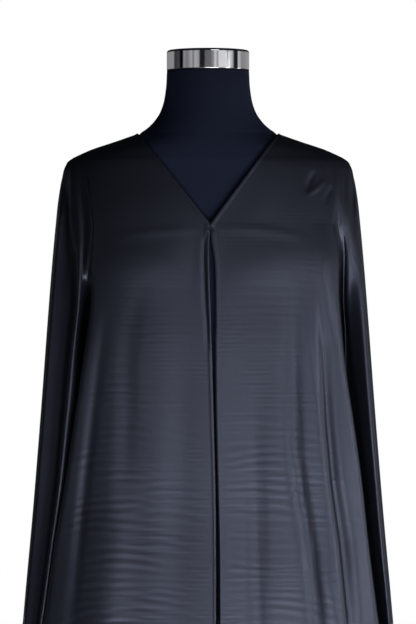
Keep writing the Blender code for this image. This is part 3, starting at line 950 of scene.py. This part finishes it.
@dataclass(frozen=True)
class ThreadFinish:
    """Matt sewing thread, a shade off the satin.

    Attributes:
        name: The material's name.
        colour: Its colour.
        twist: Length of one twist of the thread.
    """

    name: str = "sewing_thread"
    colour: tuple = (0.01, 0.011, 0.015)
    twist: float = 0.0006

    def make(self, weave: bpy.types.NodeTree) -> bpy.types.Material:
        """The thread's material.

        Args:
            weave: The fine weave group.

        Returns:
            The material.
        """
        surface = {"Base Color": (*self.colour, 1.0), "Roughness": 0.7}
        material, tree, shader = Finish.start(self.name, surface)
        place = Finish.object_place(tree)
        spun = {"Warp spacing": self.twist, "Weft spacing": self.twist, "Place": place}
        fine = Finish.node(tree, "Group", spun, node_tree=weave)
        bump = Finish.node(tree, "Bump", {"Distance": 0.0001, "Height": fine.outputs["Height"]})
        Finish.feed(tree, shader, {"Normal": bump.outputs[0]})
        return material


@dataclass
class Finishes:
    """Every finish of the part, made once.

    Attributes:
        satin: The cloth's finish.
        cover: The form cover's finish.
        chrome: The neck cap's and stand's finish.
        fastening: The hook and eye's finish.
        thread: The stitches' finish.
    """

    satin: bpy.types.Material
    cover: bpy.types.Material
    chrome: bpy.types.Material
    fastening: bpy.types.Material
    thread: bpy.types.Material

    @classmethod
    def make(cls) -> "Finishes":
        """All the materials, with the groups they share.

        Returns:
            The finishes.
        """
        weave = weave_group()
        return cls(
            satin=SatinFinish().make(weave, crinkle_group()),
            cover=JerseyFinish().make(weave),
            chrome=MetalFinish("polished_chrome", (0.8, 0.8, 0.82), 0.06).make(),
            fastening=MetalFinish("black_enamel", (0.02, 0.02, 0.025), 0.28, 0.6).make(),
            thread=ThreadFinish().make(weave),
        )


def add_object(name: str, data: bpy.types.ID) -> bpy.types.Object:
    """Puts a new object in the scene.

    Args:
        name: The object's name.
        data: Its mesh, light or camera.

    Returns:
        The object.
    """
    made = bpy.data.objects.new(name, data)
    bpy.context.scene.collection.objects.link(made)
    return made


def add_grid(built: bmesh.types.BMesh, places: Array) -> list:
    """Adds a sheet of quads through a grid of points.

    Args:
        built: The bmesh it goes into.
        places: The points, shaped (rows, columns, 3).

    Returns:
        Its vertices, row by row.
    """
    rows, columns = places.shape[:2]
    made = bmesh.ops.create_grid(built, x_segments=columns - 1, y_segments=rows - 1, size=1.0)
    for vertex, place in zip(made["verts"], places.reshape(-1, 3)):
        vertex.co = place
    return made["verts"]


def finish_piece(
    name: str, built: bmesh.types.BMesh, material: bpy.types.Material
) -> bpy.types.Object:
    """Turns a bmesh into a smooth, finished piece of the part.

    Args:
        name: The piece's name.
        built: Its bmesh, which is freed.
        material: Its finish.

    Returns:
        The piece.
    """
    mesh = bpy.data.meshes.new(name)
    built.to_mesh(mesh)
    built.free()
    mesh.materials.append(material)
    mesh.shade_smooth()
    piece = add_object(name, mesh)
    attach(piece, "root")
    return piece


@dataclass
class Stitches:
    """A row of small lock stitches along a line on the cloth.

    Attributes:
        name: The row's name.
        line: The points it follows, top to bottom.
        pitch: Length from one stitch to the next.
        length: Length of one stitch.
        thread: Half the thread's thickness.
    """

    name: str
    line: Array
    pitch: float = 0.0042
    length: float = 0.0032
    thread: float = 0.00028

    def build(self, finishes: Finishes) -> bpy.types.Object:
        """Builds the row as one piece.

        Args:
            finishes: The part's finishes.

        Returns:
            The piece.
        """
        steps = np.linalg.norm(np.diff(self.line, axis=0), axis=1)
        run = np.concatenate([[0.0], np.cumsum(steps)])
        built = bmesh.new()
        start = self.pitch
        while start + self.length < run[-1]:
            ends = [
                Vector([float(np.interp(at, run, self.line[:, k])) for k in range(3)])
                for at in (start, start + self.length)
            ]
            self.stitch(built, *ends)
            start += self.pitch
        return finish_piece(self.name, built, finishes.thread)

    def stitch(self, built: bmesh.types.BMesh, top: Vector, foot: Vector) -> None:
        """Adds one stitch: a six-sided thread with tapered ends that dip into the cloth."""
        along = foot - top
        turn = along.to_track_quat("Z", "Y").to_matrix().to_4x4()
        middle = Matrix.Translation((top + foot) / 2)
        made = bmesh.ops.create_icosphere(
            built, subdivisions=1, radius=1.0,
            matrix=middle @ turn @ Matrix.Diagonal((self.thread, self.thread, along.length / 2, 1)),
        )
        bmesh.ops.translate(built, verts=made["verts"], vec=(0.0, -0.0004, 0.0))


@dataclass
class ClothPanel:
    """One cut piece of the garment as a thin fine shell.

    Attributes:
        name: The piece's name.
        node: The solid it stands for.
        shapes: The halves of the garment it covers.
        face: Chest or back.
        creases: Its listed creases.
        crinkles: Its patches of crinkles.
        flat: The cut's flat width and length; not used.
        area: The cut's flat area; not used.
        fine_row: Height of a row where the photograph shows the cloth.
        coarse_row: Height of a row below that.
        thickness: The cloth's thickness.
        stitch_column: How many columns in from the front edge its hem is stitched.
        depth_share: How much of a point's depth counts in the weave's coordinates.
        weld: Points closer than this are joined.
    """

    name: str
    node: str
    shapes: tuple
    face: Face
    creases: tuple
    crinkles: tuple
    flat: tuple
    area: float
    fine_row: float = 0.0024
    coarse_row: float = 0.0085
    thickness: float = 0.0006
    stitch_column: int = 5
    depth_share: float = 0.3
    weld: float = 0.00002

    def levels(self, sections: GarmentSections, foot: float) -> Array:
        """Heights of the sections, close above the photograph's lower edge and wider below.

        Args:
            sections: The garment's sections.
            foot: The lowest height.

        Returns:
            The heights, from the point of the V down.
        """
        change = sections.cuff_z
        fine = np.linspace(sections.v_z, change, round((sections.v_z - change) / self.fine_row) + 1)
        if foot >= change:
            return fine
        coarse = np.linspace(change, foot, round((change - foot) / self.coarse_row) + 1)
        return np.concatenate([fine, coarse[1:]])

    def grids(self, sections: GarmentSections, shape: HalfShape) -> list:
        """The panel's points in space, as a grid for the body and a grid for the sleeve.

        Args:
            sections: The garment's sections.
            shape: Which half of the garment.

        Returns:
            Two arrays shaped (rows, columns, 3).
        """
        top = sections.shoulder(shape, self.face)
        found = []
        for part, foot in ((sections.body, sections.hem_z), (sections.sleeve, sections.cuff_z)):
            z = self.levels(sections, foot)
            flat = part(shape, z, self.face)
            found.append(np.dstack([flat, np.repeat(z[:, None], flat.shape[1], axis=1)]))
        columns = found[0].shape[1]
        body = np.concatenate([top[:-1, :columns], found[0]])
        sleeve = np.concatenate([top[:-1, columns - 1 :], found[1]])
        placed = []
        for grid in (body, sleeve):
            x = grid[:, :, 0] * shape.half.value
            y = grid[:, :, 1] * self.face.value
            placed.append(np.stack([x, y, grid[:, :, 2]], axis=2))
        return placed

    @staticmethod
    def outward(grid: Array, sign: int) -> Array:
        """Outward directions of a grid of points."""
        down = np.gradient(grid, axis=0)
        along = np.gradient(grid, axis=1)
        normal = np.cross(down, along) * sign
        length = np.linalg.norm(normal, axis=2, keepdims=True)
        return normal / np.maximum(length, 1e-12)

    def relief(
        self, sections: GarmentSections, grid: Array, shape: HalfShape, is_sleeve: bool
    ) -> Array:
        """How far the creases and crinkles lift each point of a grid.

        Args:
            sections: The garment's sections.
            grid: Points shaped (rows, columns, 3).
            shape: Which half of the garment.
            is_sleeve: Whether the grid is the sleeve's.

        Returns:
            Lifts shaped (rows, columns).
        """
        x, z = grid[:, :, 0], grid[:, :, 2]
        lift = np.zeros(x.shape)
        for patch in self.crinkles:
            lift += patch.relief(x, z)
        if self.face is Face.FRONT:
            edge = smooth_at(OPENING, shape.opening, z)
            neckline = ramp(z, sections.v_z - 0.01, sections.v_z + 0.01)
            lift *= mix(ramp(np.abs(x - edge), 0.003, 0.02), 1.0, neckline)
        for crease in self.creases:
            lift += crease.relief(x, z)
        lift *= ramp(np.abs(grid[:, :, 1]), 0.0, 0.03)
        if self.face is Face.FRONT and not is_sleeve:
            lift += self.hem_relief(sections, grid.shape[1])[None, :]
        return lift

    def hem_relief(self, sections: GarmentSections, columns: int) -> Array:
        """How the turned and stitched hem stands out along the front edge, by column.

        Args:
            sections: The garment's sections.
            columns: How many columns the body's grid has.

        Returns:
            Lifts in metres, one a column.
        """
        seam = sections.turn_columns + self.stitch_column
        at = np.arange(columns)
        doubled = self.thickness * ramp(at, seam + 1.2, seam - 0.2) * ramp(at, 0, 3)
        groove = -0.5 * self.thickness * np.exp(-((at - seam) ** 2))
        return doubled + groove

    def build(self, sections: GarmentSections, finishes: Finishes) -> bpy.types.Object:
        """Args:
            sections: The garment's sections.
            finishes: The part's finishes.

        Returns:
            The piece.
        """
        built = bmesh.new()
        cloth = built.verts.layers.float_vector.new("cloth")
        for shape in self.shapes:
            for is_sleeve, grid in enumerate(self.grids(sections, shape)):
                sign = -shape.half.value * self.face.value
                normal = self.outward(grid, sign)
                lift = self.relief(sections, grid, shape, bool(is_sleeve))
                lifted = grid + normal * lift[:, :, None]
                if self.face is Face.FRONT and not is_sleeve:
                    column = lifted[:, sections.turn_columns + self.stitch_column]
                    Stitches(f"{self.name}_stitches", column).build(finishes)
                verts = add_grid(built, lifted)
                for vertex, rest in zip(verts, grid.reshape(-1, 3)):
                    vertex[cloth] = (rest[0], rest[1] * self.depth_share, rest[2])
                if sign < 0:
                    faces = {face for vertex in verts for face in vertex.link_faces}
                    bmesh.ops.reverse_faces(built, faces=list(faces))
        bmesh.ops.remove_doubles(built, verts=built.verts[:], dist=self.weld)
        piece = finish_piece(self.name, built, finishes.satin)
        shell = piece.modifiers.new("cloth thickness", "SOLIDIFY")
        shell.thickness = self.thickness
        shell.offset = 0.0
        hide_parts(self.node)
        return piece


@dataclass
class Garment:
    """The abaya: two fronts and a back, each cut in one with its sleeves.

    Attributes:
        sections: Its level sections.
    """

    sections: GarmentSections

    def build(self, finishes: Finishes) -> list:
        """Builds the three cut pieces.

        Args:
            finishes: The part's finishes.

        Returns:
            The pieces.
        """
        front = (0.64, 1.38)
        panels = (
            ClothPanel(
                "front_left_cloth", "front_left", (LEFT_SHAPE,), Face.FRONT,
                LEFT_CREASES, LEFT_CRINKLES, front, 0.53,
            ),
            ClothPanel(
                "front_right_cloth", "front_right", (RIGHT_SHAPE,), Face.FRONT,
                RIGHT_CREASES, RIGHT_CRINKLES, front, 0.53,
            ),
            ClothPanel(
                "back_cloth", "back", (LEFT_SHAPE, RIGHT_SHAPE), Face.BACK,
                BACK_CREASES, BACK_CRINKLES, (1.32, 1.37), 1.2, 0.0042, 0.011,
            ),
        )
        made = []
        for panel in panels:
            piece = panel.build(self.sections, finishes)
            log.info("%s: %d faces", piece.name, len(piece.data.polygons))
            made.append(piece)
        return made


LEFT_CREASES = (
    Crease(((0.11, 1.23), (0.1125, 1.15), (0.1125, 1.066), (0.114, 1.0), (0.123, 0.935), (0.134, 0.869),
            (0.14, 0.803), (0.148, 0.7), (0.165, 0.5)), 0.0088, -0.0066),
    Crease(((0.061, 1.1), (0.062, 1.02), (0.063, 0.93), (0.064, 0.8), (0.068, 0.5)),
           0.009, -0.0038),
    Crease(((0.145, 1.23), (0.15, 1.17), (0.1545, 1.1185), (0.1595, 1.04), (0.1675, 0.96), (0.1795, 0.88),
            (0.1875, 0.8), (0.1975, 0.7), (0.225, 0.5)), 0.0066, -0.01),
    Crease(((0.15, 1.3), (0.152, 1.25), (0.153, 1.2), (0.156, 1.14)), 0.011, 0.0028),
    Crease(((0.115, 0.95), (0.132, 0.88), (0.162, 0.8), (0.178, 0.7)), 0.009, 0.001),
    Crease(((0.003, 1.2912), (0.0354, 1.2918), (0.08, 1.2885), (0.135, 1.278)), 0.0065, 0.0007),
    Crease(((0.0, 1.295), (0.0035, 1.2968), (0.0085, 1.299)), 0.0016, 0.0012),
    Crease(((0.0, 1.2945), (0.004, 1.2915), (0.009, 1.288)), 0.0016, -0.0014),
    Crease(((0.141, 1.37), (0.1343, 1.3532), (0.129, 1.3374)), 0.0036, -0.0022),
    Crease(((0.156, 1.3585), (0.1449, 1.3466), (0.1304, 1.3348)), 0.003, 0.0013),
    Crease(((0.164, 1.35), (0.1594, 1.3374), (0.1554, 1.3242)), 0.0032, -0.0013),
    Crease(((0.1655, 1.285), (0.1685, 1.25), (0.1705, 1.198), (0.1783, 1.117), (0.19, 1.037),
            (0.201, 0.956), (0.2098, 0.875), (0.22, 0.795), (0.245, 0.6)), 0.0045, 0.0014),
    Crease(((0.1842, 1.3729), (0.1803, 1.3437), (0.1776, 1.3145), (0.1763, 1.2973)), 0.006, -0.0012),
    Crease(((0.095, 1.17), (0.096, 1.1), (0.099, 1.0), (0.105, 0.75)), 0.016, 0.001),
    Crease(((0.045, 1.23), (0.048, 1.12), (0.052, 0.96), (0.06, 0.72)), 0.02, -0.0008),
    Crease(((0.02, 1.244), (0.07, 1.246), (0.12, 1.25), (0.18, 1.256)), 0.03, 0.0034),
)
RIGHT_CREASES = (
    Crease(((-0.135, 1.19), (-0.1435, 1.1185), (-0.1525, 1.04), (-0.1615, 0.96), (-0.169, 0.88),
            (-0.177, 0.8), (-0.187, 0.7)), 0.0065, -0.0024),
    Crease(((-0.1435, 1.25), (-0.149, 1.198), (-0.1605, 1.117), (-0.1722, 1.037), (-0.184, 0.956),
            (-0.1975, 0.875), (-0.208, 0.795), (-0.233, 0.65)), 0.0038, 0.0013),
    Crease(((-0.0013, 1.2908), (-0.0367, 1.2895), (-0.0761, 1.2869), (-0.1254, 1.28)), 0.0065, 0.0007),
    Crease(((-0.1903, 1.3763), (-0.1883, 1.3484), (-0.1837, 1.3178), (-0.177, 1.2778),
            (-0.1744, 1.2485), (-0.1744, 1.198)), 0.003, 0.0008),
    Crease(((-0.1784, 1.3244), (-0.1744, 1.3018), (-0.1717, 1.2805), (-0.1744, 1.2619),
            (-0.1784, 1.2379)), 0.003, -0.0008),
    Crease(((0.0, 1.29), (-0.005, 1.2699), (-0.0053, 1.2502), (-0.0045, 1.224),
            (-0.0035, 1.1977), (-0.0015, 1.1715), (0.0005, 1.1253)), 0.0021, -0.003),
    Crease(((0.0015, 1.29), (0.0, 1.2699), (-0.0002, 1.2502), (0.0005, 1.224),
            (0.0014, 1.1977), (0.0025, 1.1715), (0.004, 1.1253)), 0.0016, 0.001),
    Crease(((-0.085, 1.23), (-0.1023, 1.1584), (-0.1062, 1.1059), (-0.1049, 1.0535),
            (-0.112, 0.9)), 0.013, -0.0016),
    Crease(((-0.06, 1.19), (-0.062, 1.1), (-0.068, 0.95), (-0.075, 0.72)), 0.018, 0.0008),
    Crease(((-0.03, 1.2), (-0.032, 1.08), (-0.036, 0.92), (-0.04, 0.7)), 0.015, -0.0006),
    Crease(((-0.02, 1.242), (-0.07, 1.244), (-0.12, 1.246), (-0.16, 1.248)), 0.03, 0.0028),
)
BACK_CREASES = (
    Crease(((-0.09, 1.23), (-0.104, 1.1), (-0.112, 0.86), (-0.125, 0.62)), 0.016, -0.0022),
    Crease(((0.1, 1.23), (0.115, 1.1), (0.128, 0.86), (0.14, 0.62)), 0.016, -0.002),
    Crease(((-0.02, 1.25), (-0.022, 1.05), (-0.03, 0.8), (-0.04, 0.6)), 0.019, 0.0016),
    Crease(((0.05, 1.22), (0.054, 1.05), (0.06, 0.8), (0.07, 0.6)), 0.019, 0.0015),
    Crease(((-0.129, 1.338), (-0.144, 1.347), (-0.157, 1.358)), 0.005, -0.001),
    Crease(((0.127, 1.337), (0.142, 1.348), (0.156, 1.356)), 0.005, -0.001),
    Crease(((-0.1842, 1.37), (-0.1803, 1.343), (-0.1776, 1.314), (-0.1763, 1.297)), 0.006, -0.0011),
    Crease(((0.1842, 1.37), (0.1803, 1.343), (0.1776, 1.314), (0.1763, 1.297)), 0.006, -0.0011),
)
LEFT_CRINKLES = (
    Crinkles((0.085, 0.82), (0.18, 0.42), 0.0118, 0.0002, 0.6, 0.05, 11),
    Crinkles((0.125, 1.245), (0.035, 0.032), 0.0066, 0.00022, 3.0, 0.11, 21, 0.02),
    Crinkles((0.08, 1.18), (0.12, 0.1), 0.012, 0.00007, 1.3, 0.07, 25),
)
RIGHT_CRINKLES = (
    Crinkles((-0.12, 0.83), (0.095, 0.38), 0.0122, 0.00036, 2.6, -0.118, 31, 0.04),
    Crinkles((-0.06, 0.82), (0.12, 0.36), 0.0122, 0.00014, 1.2, -0.1, 35),
    Crinkles((-0.112, 1.232), (0.03, 0.028), 0.0062, 0.0002, 3.0, -0.1, 41, 0.02),
    Crinkles((-0.08, 1.18), (0.1, 0.1), 0.012, 0.00006, 1.3, -0.09, 45),
)
BACK_CRINKLES = (
    Crinkles((0.0, 0.9), (0.18, 0.36), 0.0125, 0.00016, 1.2, 0.0, 51, 0.07),
    Crinkles((-0.11, 0.85), (0.07, 0.25), 0.0125, 0.00014, 2.0, -0.11, 55, 0.05),
)


@dataclass
class NeckCap:
    """The turned chrome cap on the form's neck.

    Attributes:
        radius: Its outer radius.
        foot: Height of its underside.
        height: Its height.
        lip: Radius of its rounded top edge.
        steps: Steps round it.
    """

    radius: float = 0.0555
    foot: float = 1.5065
    height: float = 0.0271
    lip: float = 0.003
    steps: int = 160

    def build(self, finishes: Finishes) -> bpy.types.Object:
        """Builds the cap.

        Args:
            finishes: The part's finishes.

        Returns:
            The piece.
        """
        top = self.foot + self.height
        profile = [(0.0, top), (0.5 * self.radius, top)]
        for k in range(9):
            turn = 0.5 * math.pi * k / 8
            x = self.radius - self.lip + self.lip * math.sin(turn)
            profile.append((x, top - self.lip + self.lip * math.cos(turn)))
        side = (top - self.lip - 0.0004, self.foot + 0.001, self.foot + 0.0006)
        profile += [(self.radius, z) for z in side]
        profile += [(self.radius - 0.0006, self.foot), (self.radius - 0.0012, self.foot)]
        profile += [(0.0, self.foot)]
        piece = turned("neck_cap_fine", profile, self.steps, finishes.chrome, "chrome")
        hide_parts("neck_cap")
        return piece


def turned(
    name: str, profile: list, steps: int, material: bpy.types.Material, slot: str
) -> bpy.types.Object:
    """A turned piece from (radius, z) points that run down its outer side.

    Args:
        name: The piece's name.
        profile: Its points, top to bottom.
        steps: Steps round it.
        material: Its finish.
        slot: A material slot's name; not used.

    Returns:
        The piece.
    """
    built = bmesh.new()
    points = [built.verts.new((radius, 0.0, z)) for radius, z in profile]
    edges = [built.edges.new(pair) for pair in zip(points, points[1:])]
    bmesh.ops.spin(
        built, geom=points + edges, cent=(0, 0, 0), axis=(0, 0, 1), angle=math.tau,
        steps=steps, use_merge=True,
    )
    bmesh.ops.remove_doubles(built, verts=built.verts[:], dist=0.000005)
    bmesh.ops.recalc_face_normals(built, faces=built.faces[:])
    return finish_piece(name, built, material)


NECK_RINGS = (
    Outline(1.5065, 0.0552, 0.0552, 0.0552, 2.0),
    Outline(1.4805, 0.0569, 0.0565, 0.056, 2.0),
    Outline(1.459, 0.0611, 0.0595, 0.056, 2.0),
    Outline(1.4482, 0.0655, 0.0622, 0.055, 2.0),
    Outline(1.4375, 0.073, 0.0655, 0.053, 2.0),
    Outline(1.4321, 0.0781, 0.0673, 0.0515, 2.0),
    Outline(1.4267, 0.0847, 0.069, 0.05, 2.0),
    Outline(1.4235, 0.0895, 0.0701, 0.0495, 2.0),
    Outline(1.4205, 0.0925, 0.0712, 0.05, 2.0),
)
TRUNK_RINGS = (
    Outline(1.38, 0.179, 0.0855, 0.085, 2.1),
    Outline(1.37, 0.171, 0.088, 0.088, 2.2),
    Outline(1.352, 0.161, 0.093, 0.093, 2.3),
    Outline(1.325, 0.153, 0.1, 0.099, 2.4),
    Outline(1.285, 0.145, 0.108, 0.102, 2.4),
    Outline(1.23, 0.139, 0.115, 0.102, 2.3),
    Outline(1.17, 0.137, 0.117, 0.1, 2.2),
    Outline(1.11, 0.13, 0.108, 0.092, 2.2),
    Outline(1.05, 0.122, 0.095, 0.085, 2.2),
    Outline(1.0, 0.122, 0.092, 0.087, 2.2),
    Outline(0.94, 0.135, 0.098, 0.099, 2.3),
    Outline(0.88, 0.15, 0.102, 0.108, 2.3),
    Outline(0.83, 0.154, 0.101, 0.108, 2.3),
    Outline(0.795, 0.153, 0.099, 0.105, 2.3),
    Outline(0.783, 0.149, 0.095, 0.101, 2.3),
    Outline(0.78, 0.141, 0.088, 0.094, 2.3),
)


@dataclass
class DressForm:
    """The covered form and its stand.

    Attributes:
        shoulder_levels: Heights of the rings just under the cloth's shoulders.
        side: How far inside the cloth they lie at the sides.
        front: How far inside it they lie in front.
        back: How far inside it they lie behind.
        level: Height from one row of the fine cover to the next.
        around: Columns round the fine cover.
    """

    shoulder_levels: tuple = (1.4165, 1.4125, 1.408, 1.403, 1.3975, 1.392, 1.387)
    side: float = 0.0056
    front: float = 0.004
    back: float = 0.0045
    level: float = 0.003
    around: int = 120

    def cover(self, finishes: Finishes) -> bpy.types.Object:
        """Builds the fine, smooth cover of the torso and neck.

        Args:
            finishes: The part's finishes.

        Returns:
            The piece.
        """
        shoulders = [
            Outline(
                z,
                float(smooth_at(OUTLINE, "rim", z)) - self.side,
                float(smooth_at(OUTLINE, "front", z)) - self.front,
                float(smooth_at(OUTLINE, "back", z)) - self.back,
                float(smooth_at(OUTLINE, "power", z)),
            )
            for z in self.shoulder_levels
        ]
        rings = (*NECK_RINGS, *shoulders, *TRUNK_RINGS)
        top, foot = rings[0].z, rings[-1].z
        even = np.linspace(top, foot, round((top - foot) / self.level) + 1)
        z = np.unique(np.concatenate([even, [ring.z for ring in rings]]))[::-1]
        turn = np.linspace(0, math.tau, self.around + 1)
        width, ahead, behind, power = (smooth_at(rings, key, z)[:, None] for key in Outline._fields[1:])
        sides, fronts = np.cos(turn)[None, :], np.sin(turn)[None, :]
        x = width * np.sign(sides) * np.abs(sides) ** (2 / power)
        y = np.where(fronts < 0, ahead, behind) * np.sign(fronts) * np.abs(fronts) ** (2 / power)
        built = bmesh.new()
        add_grid(built, np.stack([x, y, z[:, None] + 0 * x], axis=2))
        bmesh.ops.remove_doubles(built, verts=built.verts[:], dist=0.00001)
        bmesh.ops.holes_fill(built, edges=built.edges[:], sides=0)
        bmesh.ops.recalc_face_normals(built, faces=built.faces[:])
        piece = finish_piece("form_cover_fine", built, finishes.cover)
        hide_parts("form_torso")
        return piece

    def dress(self, finishes: Finishes) -> None:
        """Gives each carried-over solid its finish.

        Args:
            finishes: The part's finishes.
        """
        wanted = {
            "flange": finishes.chrome,
            "pole_collar": finishes.chrome,
            "pole": finishes.chrome,
            "base": finishes.chrome,
            "hook": finishes.fastening,
            "eye": finishes.fastening,
        }
        for name, material in wanted.items():
            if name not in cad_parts:
                continue
            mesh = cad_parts[name].data
            mesh.materials.clear()
            mesh.materials.append(material)


class Flag(NamedTuple):
    """One stop of the grey flags round the studio, by its azimuth from the camera in degrees."""

    azimuth: float
    grey: float


FLAGS = (
    Flag(-180.0, 0.25), Flag(-150.0, 0.27), Flag(-113.0, 0.33), Flag(-107.0, 0.04),
    Flag(-88.0, 0.07), Flag(-84.0, 0.0), Flag(-75.0, 0.0), Flag(-72.0, 0.33),
    Flag(-60.0, 0.22), Flag(-46.0, 0.48), Flag(-42.0, 0.17), Flag(-37.0, 0.5),
    Flag(-26.0, 0.42), Flag(-22.0, 0.01), Flag(-10.0, 0.01), Flag(-7.0, 0.13),
    Flag(8.0, 0.16), Flag(16.0, 0.3), Flag(20.0, 0.76), Flag(27.0, 0.26), Flag(31.0, 0.85),
    Flag(52.0, 0.85), Flag(56.0, 0.14), Flag(61.0, 0.72), Flag(72.0, 0.55), Flag(78.0, 0.01),
    Flag(90.0, 0.01), Flag(95.0, 0.62), Flag(108.0, 0.28), Flag(180.0, 0.4),
)


class Softbox(NamedTuple):
    """One soft light round the part; the azimuth runs from the camera to the photo's right."""

    name: str
    azimuth: float
    distance: float
    z: float
    width: float
    tall: float
    power: float


SOFTBOXES = (
    Softbox("front_right", 20.0, 3.2, 1.12, 1.0, 0.9, 5.5),
    Softbox("front_left", -5.0, 3.2, 1.12, 0.7, 0.9, 2.6),
    Softbox("low", 12.0, 1.7, 0.28, 1.2, 0.4, 20.0),
    Softbox("high_right", 20.0, 3.0, 2.3, 1.2, 0.8, 5.5),
    Softbox("mid_right", 58.0, 2.6, 1.03, 0.5, 1.2, 15.0),
    Softbox("side_right", 97.0, 3.0, 1.05, 0.6, 0.9, 8.0),
    Softbox("rear", 180.0, 2.4, 0.3, 1.6, 0.5, 24.0),
)


@dataclass
class Studio:
    """A pale floor, soft lights and the camera at the photograph's angle.

    Attributes:
        eye_z: Height of the camera.
        distance: How far in front of the side plane it stands.
        view_height: How much height the picture covers at the side plane.
        picture: Width and height of the picture; not used.
        sensor: The camera's sensor size, on the picture's long side.
        floor_size: Side of the floor.
        floor_greys: The floor's two greys.
        dim: Colour of the studio's dim surroundings.
        flag_blue: How much bluer than grey the flags are.
        flag_height: How far above the level the ring of flags looks from the part.
        flag_edges: Half heights of the ring at its outer and inner edge.
        aim_z: Height the lights point at.
    """

    eye_z: float = 1.182
    distance: float = 4.8
    view_height: float = 0.8393
    picture: tuple = (416, 624)
    sensor: float = 36.0
    floor_size: float = 9.0
    floor_greys: tuple = (0.78, 0.82)
    dim: tuple = (0.01, 0.011, 0.013)
    flag_blue: float = 1.03
    flag_height: float = 0.07
    flag_edges: tuple = (0.032, 0.02)
    aim_z: float = 1.0

    def camera(self) -> None:
        """Makes the level camera in front of the part."""
        data = bpy.data.cameras.new("studio_camera")
        data.sensor_width = self.sensor
        data.lens = self.sensor * self.distance / self.view_height
        camera = add_object("studio_camera", data)
        camera.location = (0.0, -self.distance, self.eye_z)
        camera.rotation_euler = (math.radians(90), 0.0, 0.0)
        bpy.context.scene.camera = camera

    def floor(self) -> None:
        """Makes the plain pale floor."""
        built = bmesh.new()
        bmesh.ops.create_grid(built, x_segments=8, y_segments=8, size=self.floor_size / 2)
        mesh = bpy.data.meshes.new("studio_floor")
        built.to_mesh(mesh)
        built.free()
        material, tree, shader = Finish.start("pale_floor", {"Roughness": 0.9})
        noise = {"Scale": 0.8, "Vector": Finish.object_place(tree)}
        cloud = Finish.node(tree, "TexNoise", noise).outputs[0]
        shades = [(grey, grey, grey, 1.0) for grey in self.floor_greys]
        Finish.feed(tree, shader, {"Base Color": Finish.tone(tree, cloud, *shades)})
        mesh.materials.append(material)
        add_object("studio_floor", mesh)

    def light(self, box: Softbox) -> None:
        """One soft area light that points at the part.

        Args:
            box: Where it stands, and its size and power.
        """
        data = bpy.data.lights.new(box.name, "AREA")
        data.shape = "RECTANGLE"
        data.size, data.size_y = box.width, box.tall
        data.energy = box.power
        light = add_object(box.name, data)
        turn = math.radians(box.azimuth)
        place = Vector((math.sin(turn) * box.distance, -math.cos(turn) * box.distance, box.z))
        light.location = place
        aim = Vector((0.0, 0.0, self.aim_z)) - place
        light.rotation_euler = aim.to_track_quat("-Z", "Y").to_euler()

    def surroundings(self) -> None:
        """The world: white where the camera looks, else dim with a low ring of grey flags."""
        world = bpy.data.worlds.new("studio")
        bpy.context.scene.world = world
        world.use_nodes = True
        tree = world.node_tree
        tree.nodes.clear()
        place = Finish.node(tree, "TexCoord").outputs["Generated"]
        across, away, up = Finish.node(tree, "SeparateXYZ", {0: place}).outputs
        turn = Finish.math(tree, "ARCTAN2", across, Finish.math(tree, "MULTIPLY", away, -1.0))
        share = Finish.math(tree, "MULTIPLY_ADD", turn, 1 / math.tau, 0.5)
        flags = Finish.node(tree, "ValToRGB", {0: share})
        elements = flags.color_ramp.elements
        for flag in FLAGS[1:-1]:
            elements.new(0.5 + flag.azimuth / 360)
        for k, flag in enumerate(FLAGS):
            elements[k].color = (flag.grey, flag.grey, flag.grey * self.flag_blue, 1.0)
        above = Finish.math(tree, "ADD", up, -self.flag_height)
        outer, inner = self.flag_edges
        ring = Finish.span(
            tree, Finish.math(tree, "ABSOLUTE", above), From_Min=outer, From_Max=inner
        )
        tone = Finish.tone(tree, ring, (*self.dim, 1.0), flags.outputs[0])
        around = Finish.node(tree, "Background", {"Color": tone})
        white = Finish.node(tree, "Background", {"Color": (1.0, 1.0, 1.0, 1.0)})
        is_camera = Finish.node(tree, "LightPath").outputs["Is Camera Ray"]
        sides = {0: is_camera, 1: around.outputs[0], 2: white.outputs[0]}
        Finish.node(tree, "OutputWorld", {0: Finish.node(tree, "MixShader", sides).outputs[0]})

    def build(self) -> None:
        """Builds the studio."""
        self.camera()
        self.floor()
        for box in SOFTBOXES:
            self.light(box)
        self.surroundings()
        bpy.context.scene.view_settings.view_transform = "Standard"


def main() -> None:
    """Builds every piece and the studio, in order."""
    finishes = Finishes.make()
    form = DressForm()
    form.dress(finishes)
    log.info("the stand and the fastening have their finishes")
    cover = form.cover(finishes)
    log.info("%s: %d faces", cover.name, len(cover.data.polygons))
    cap = NeckCap().build(finishes)
    log.info("%s: %d faces", cap.name, len(cap.data.polygons))
    Garment(GarmentSections()).build(finishes)
    Studio().build()
    log.info("the studio is set")


if __name__ == "__main__":
    main()
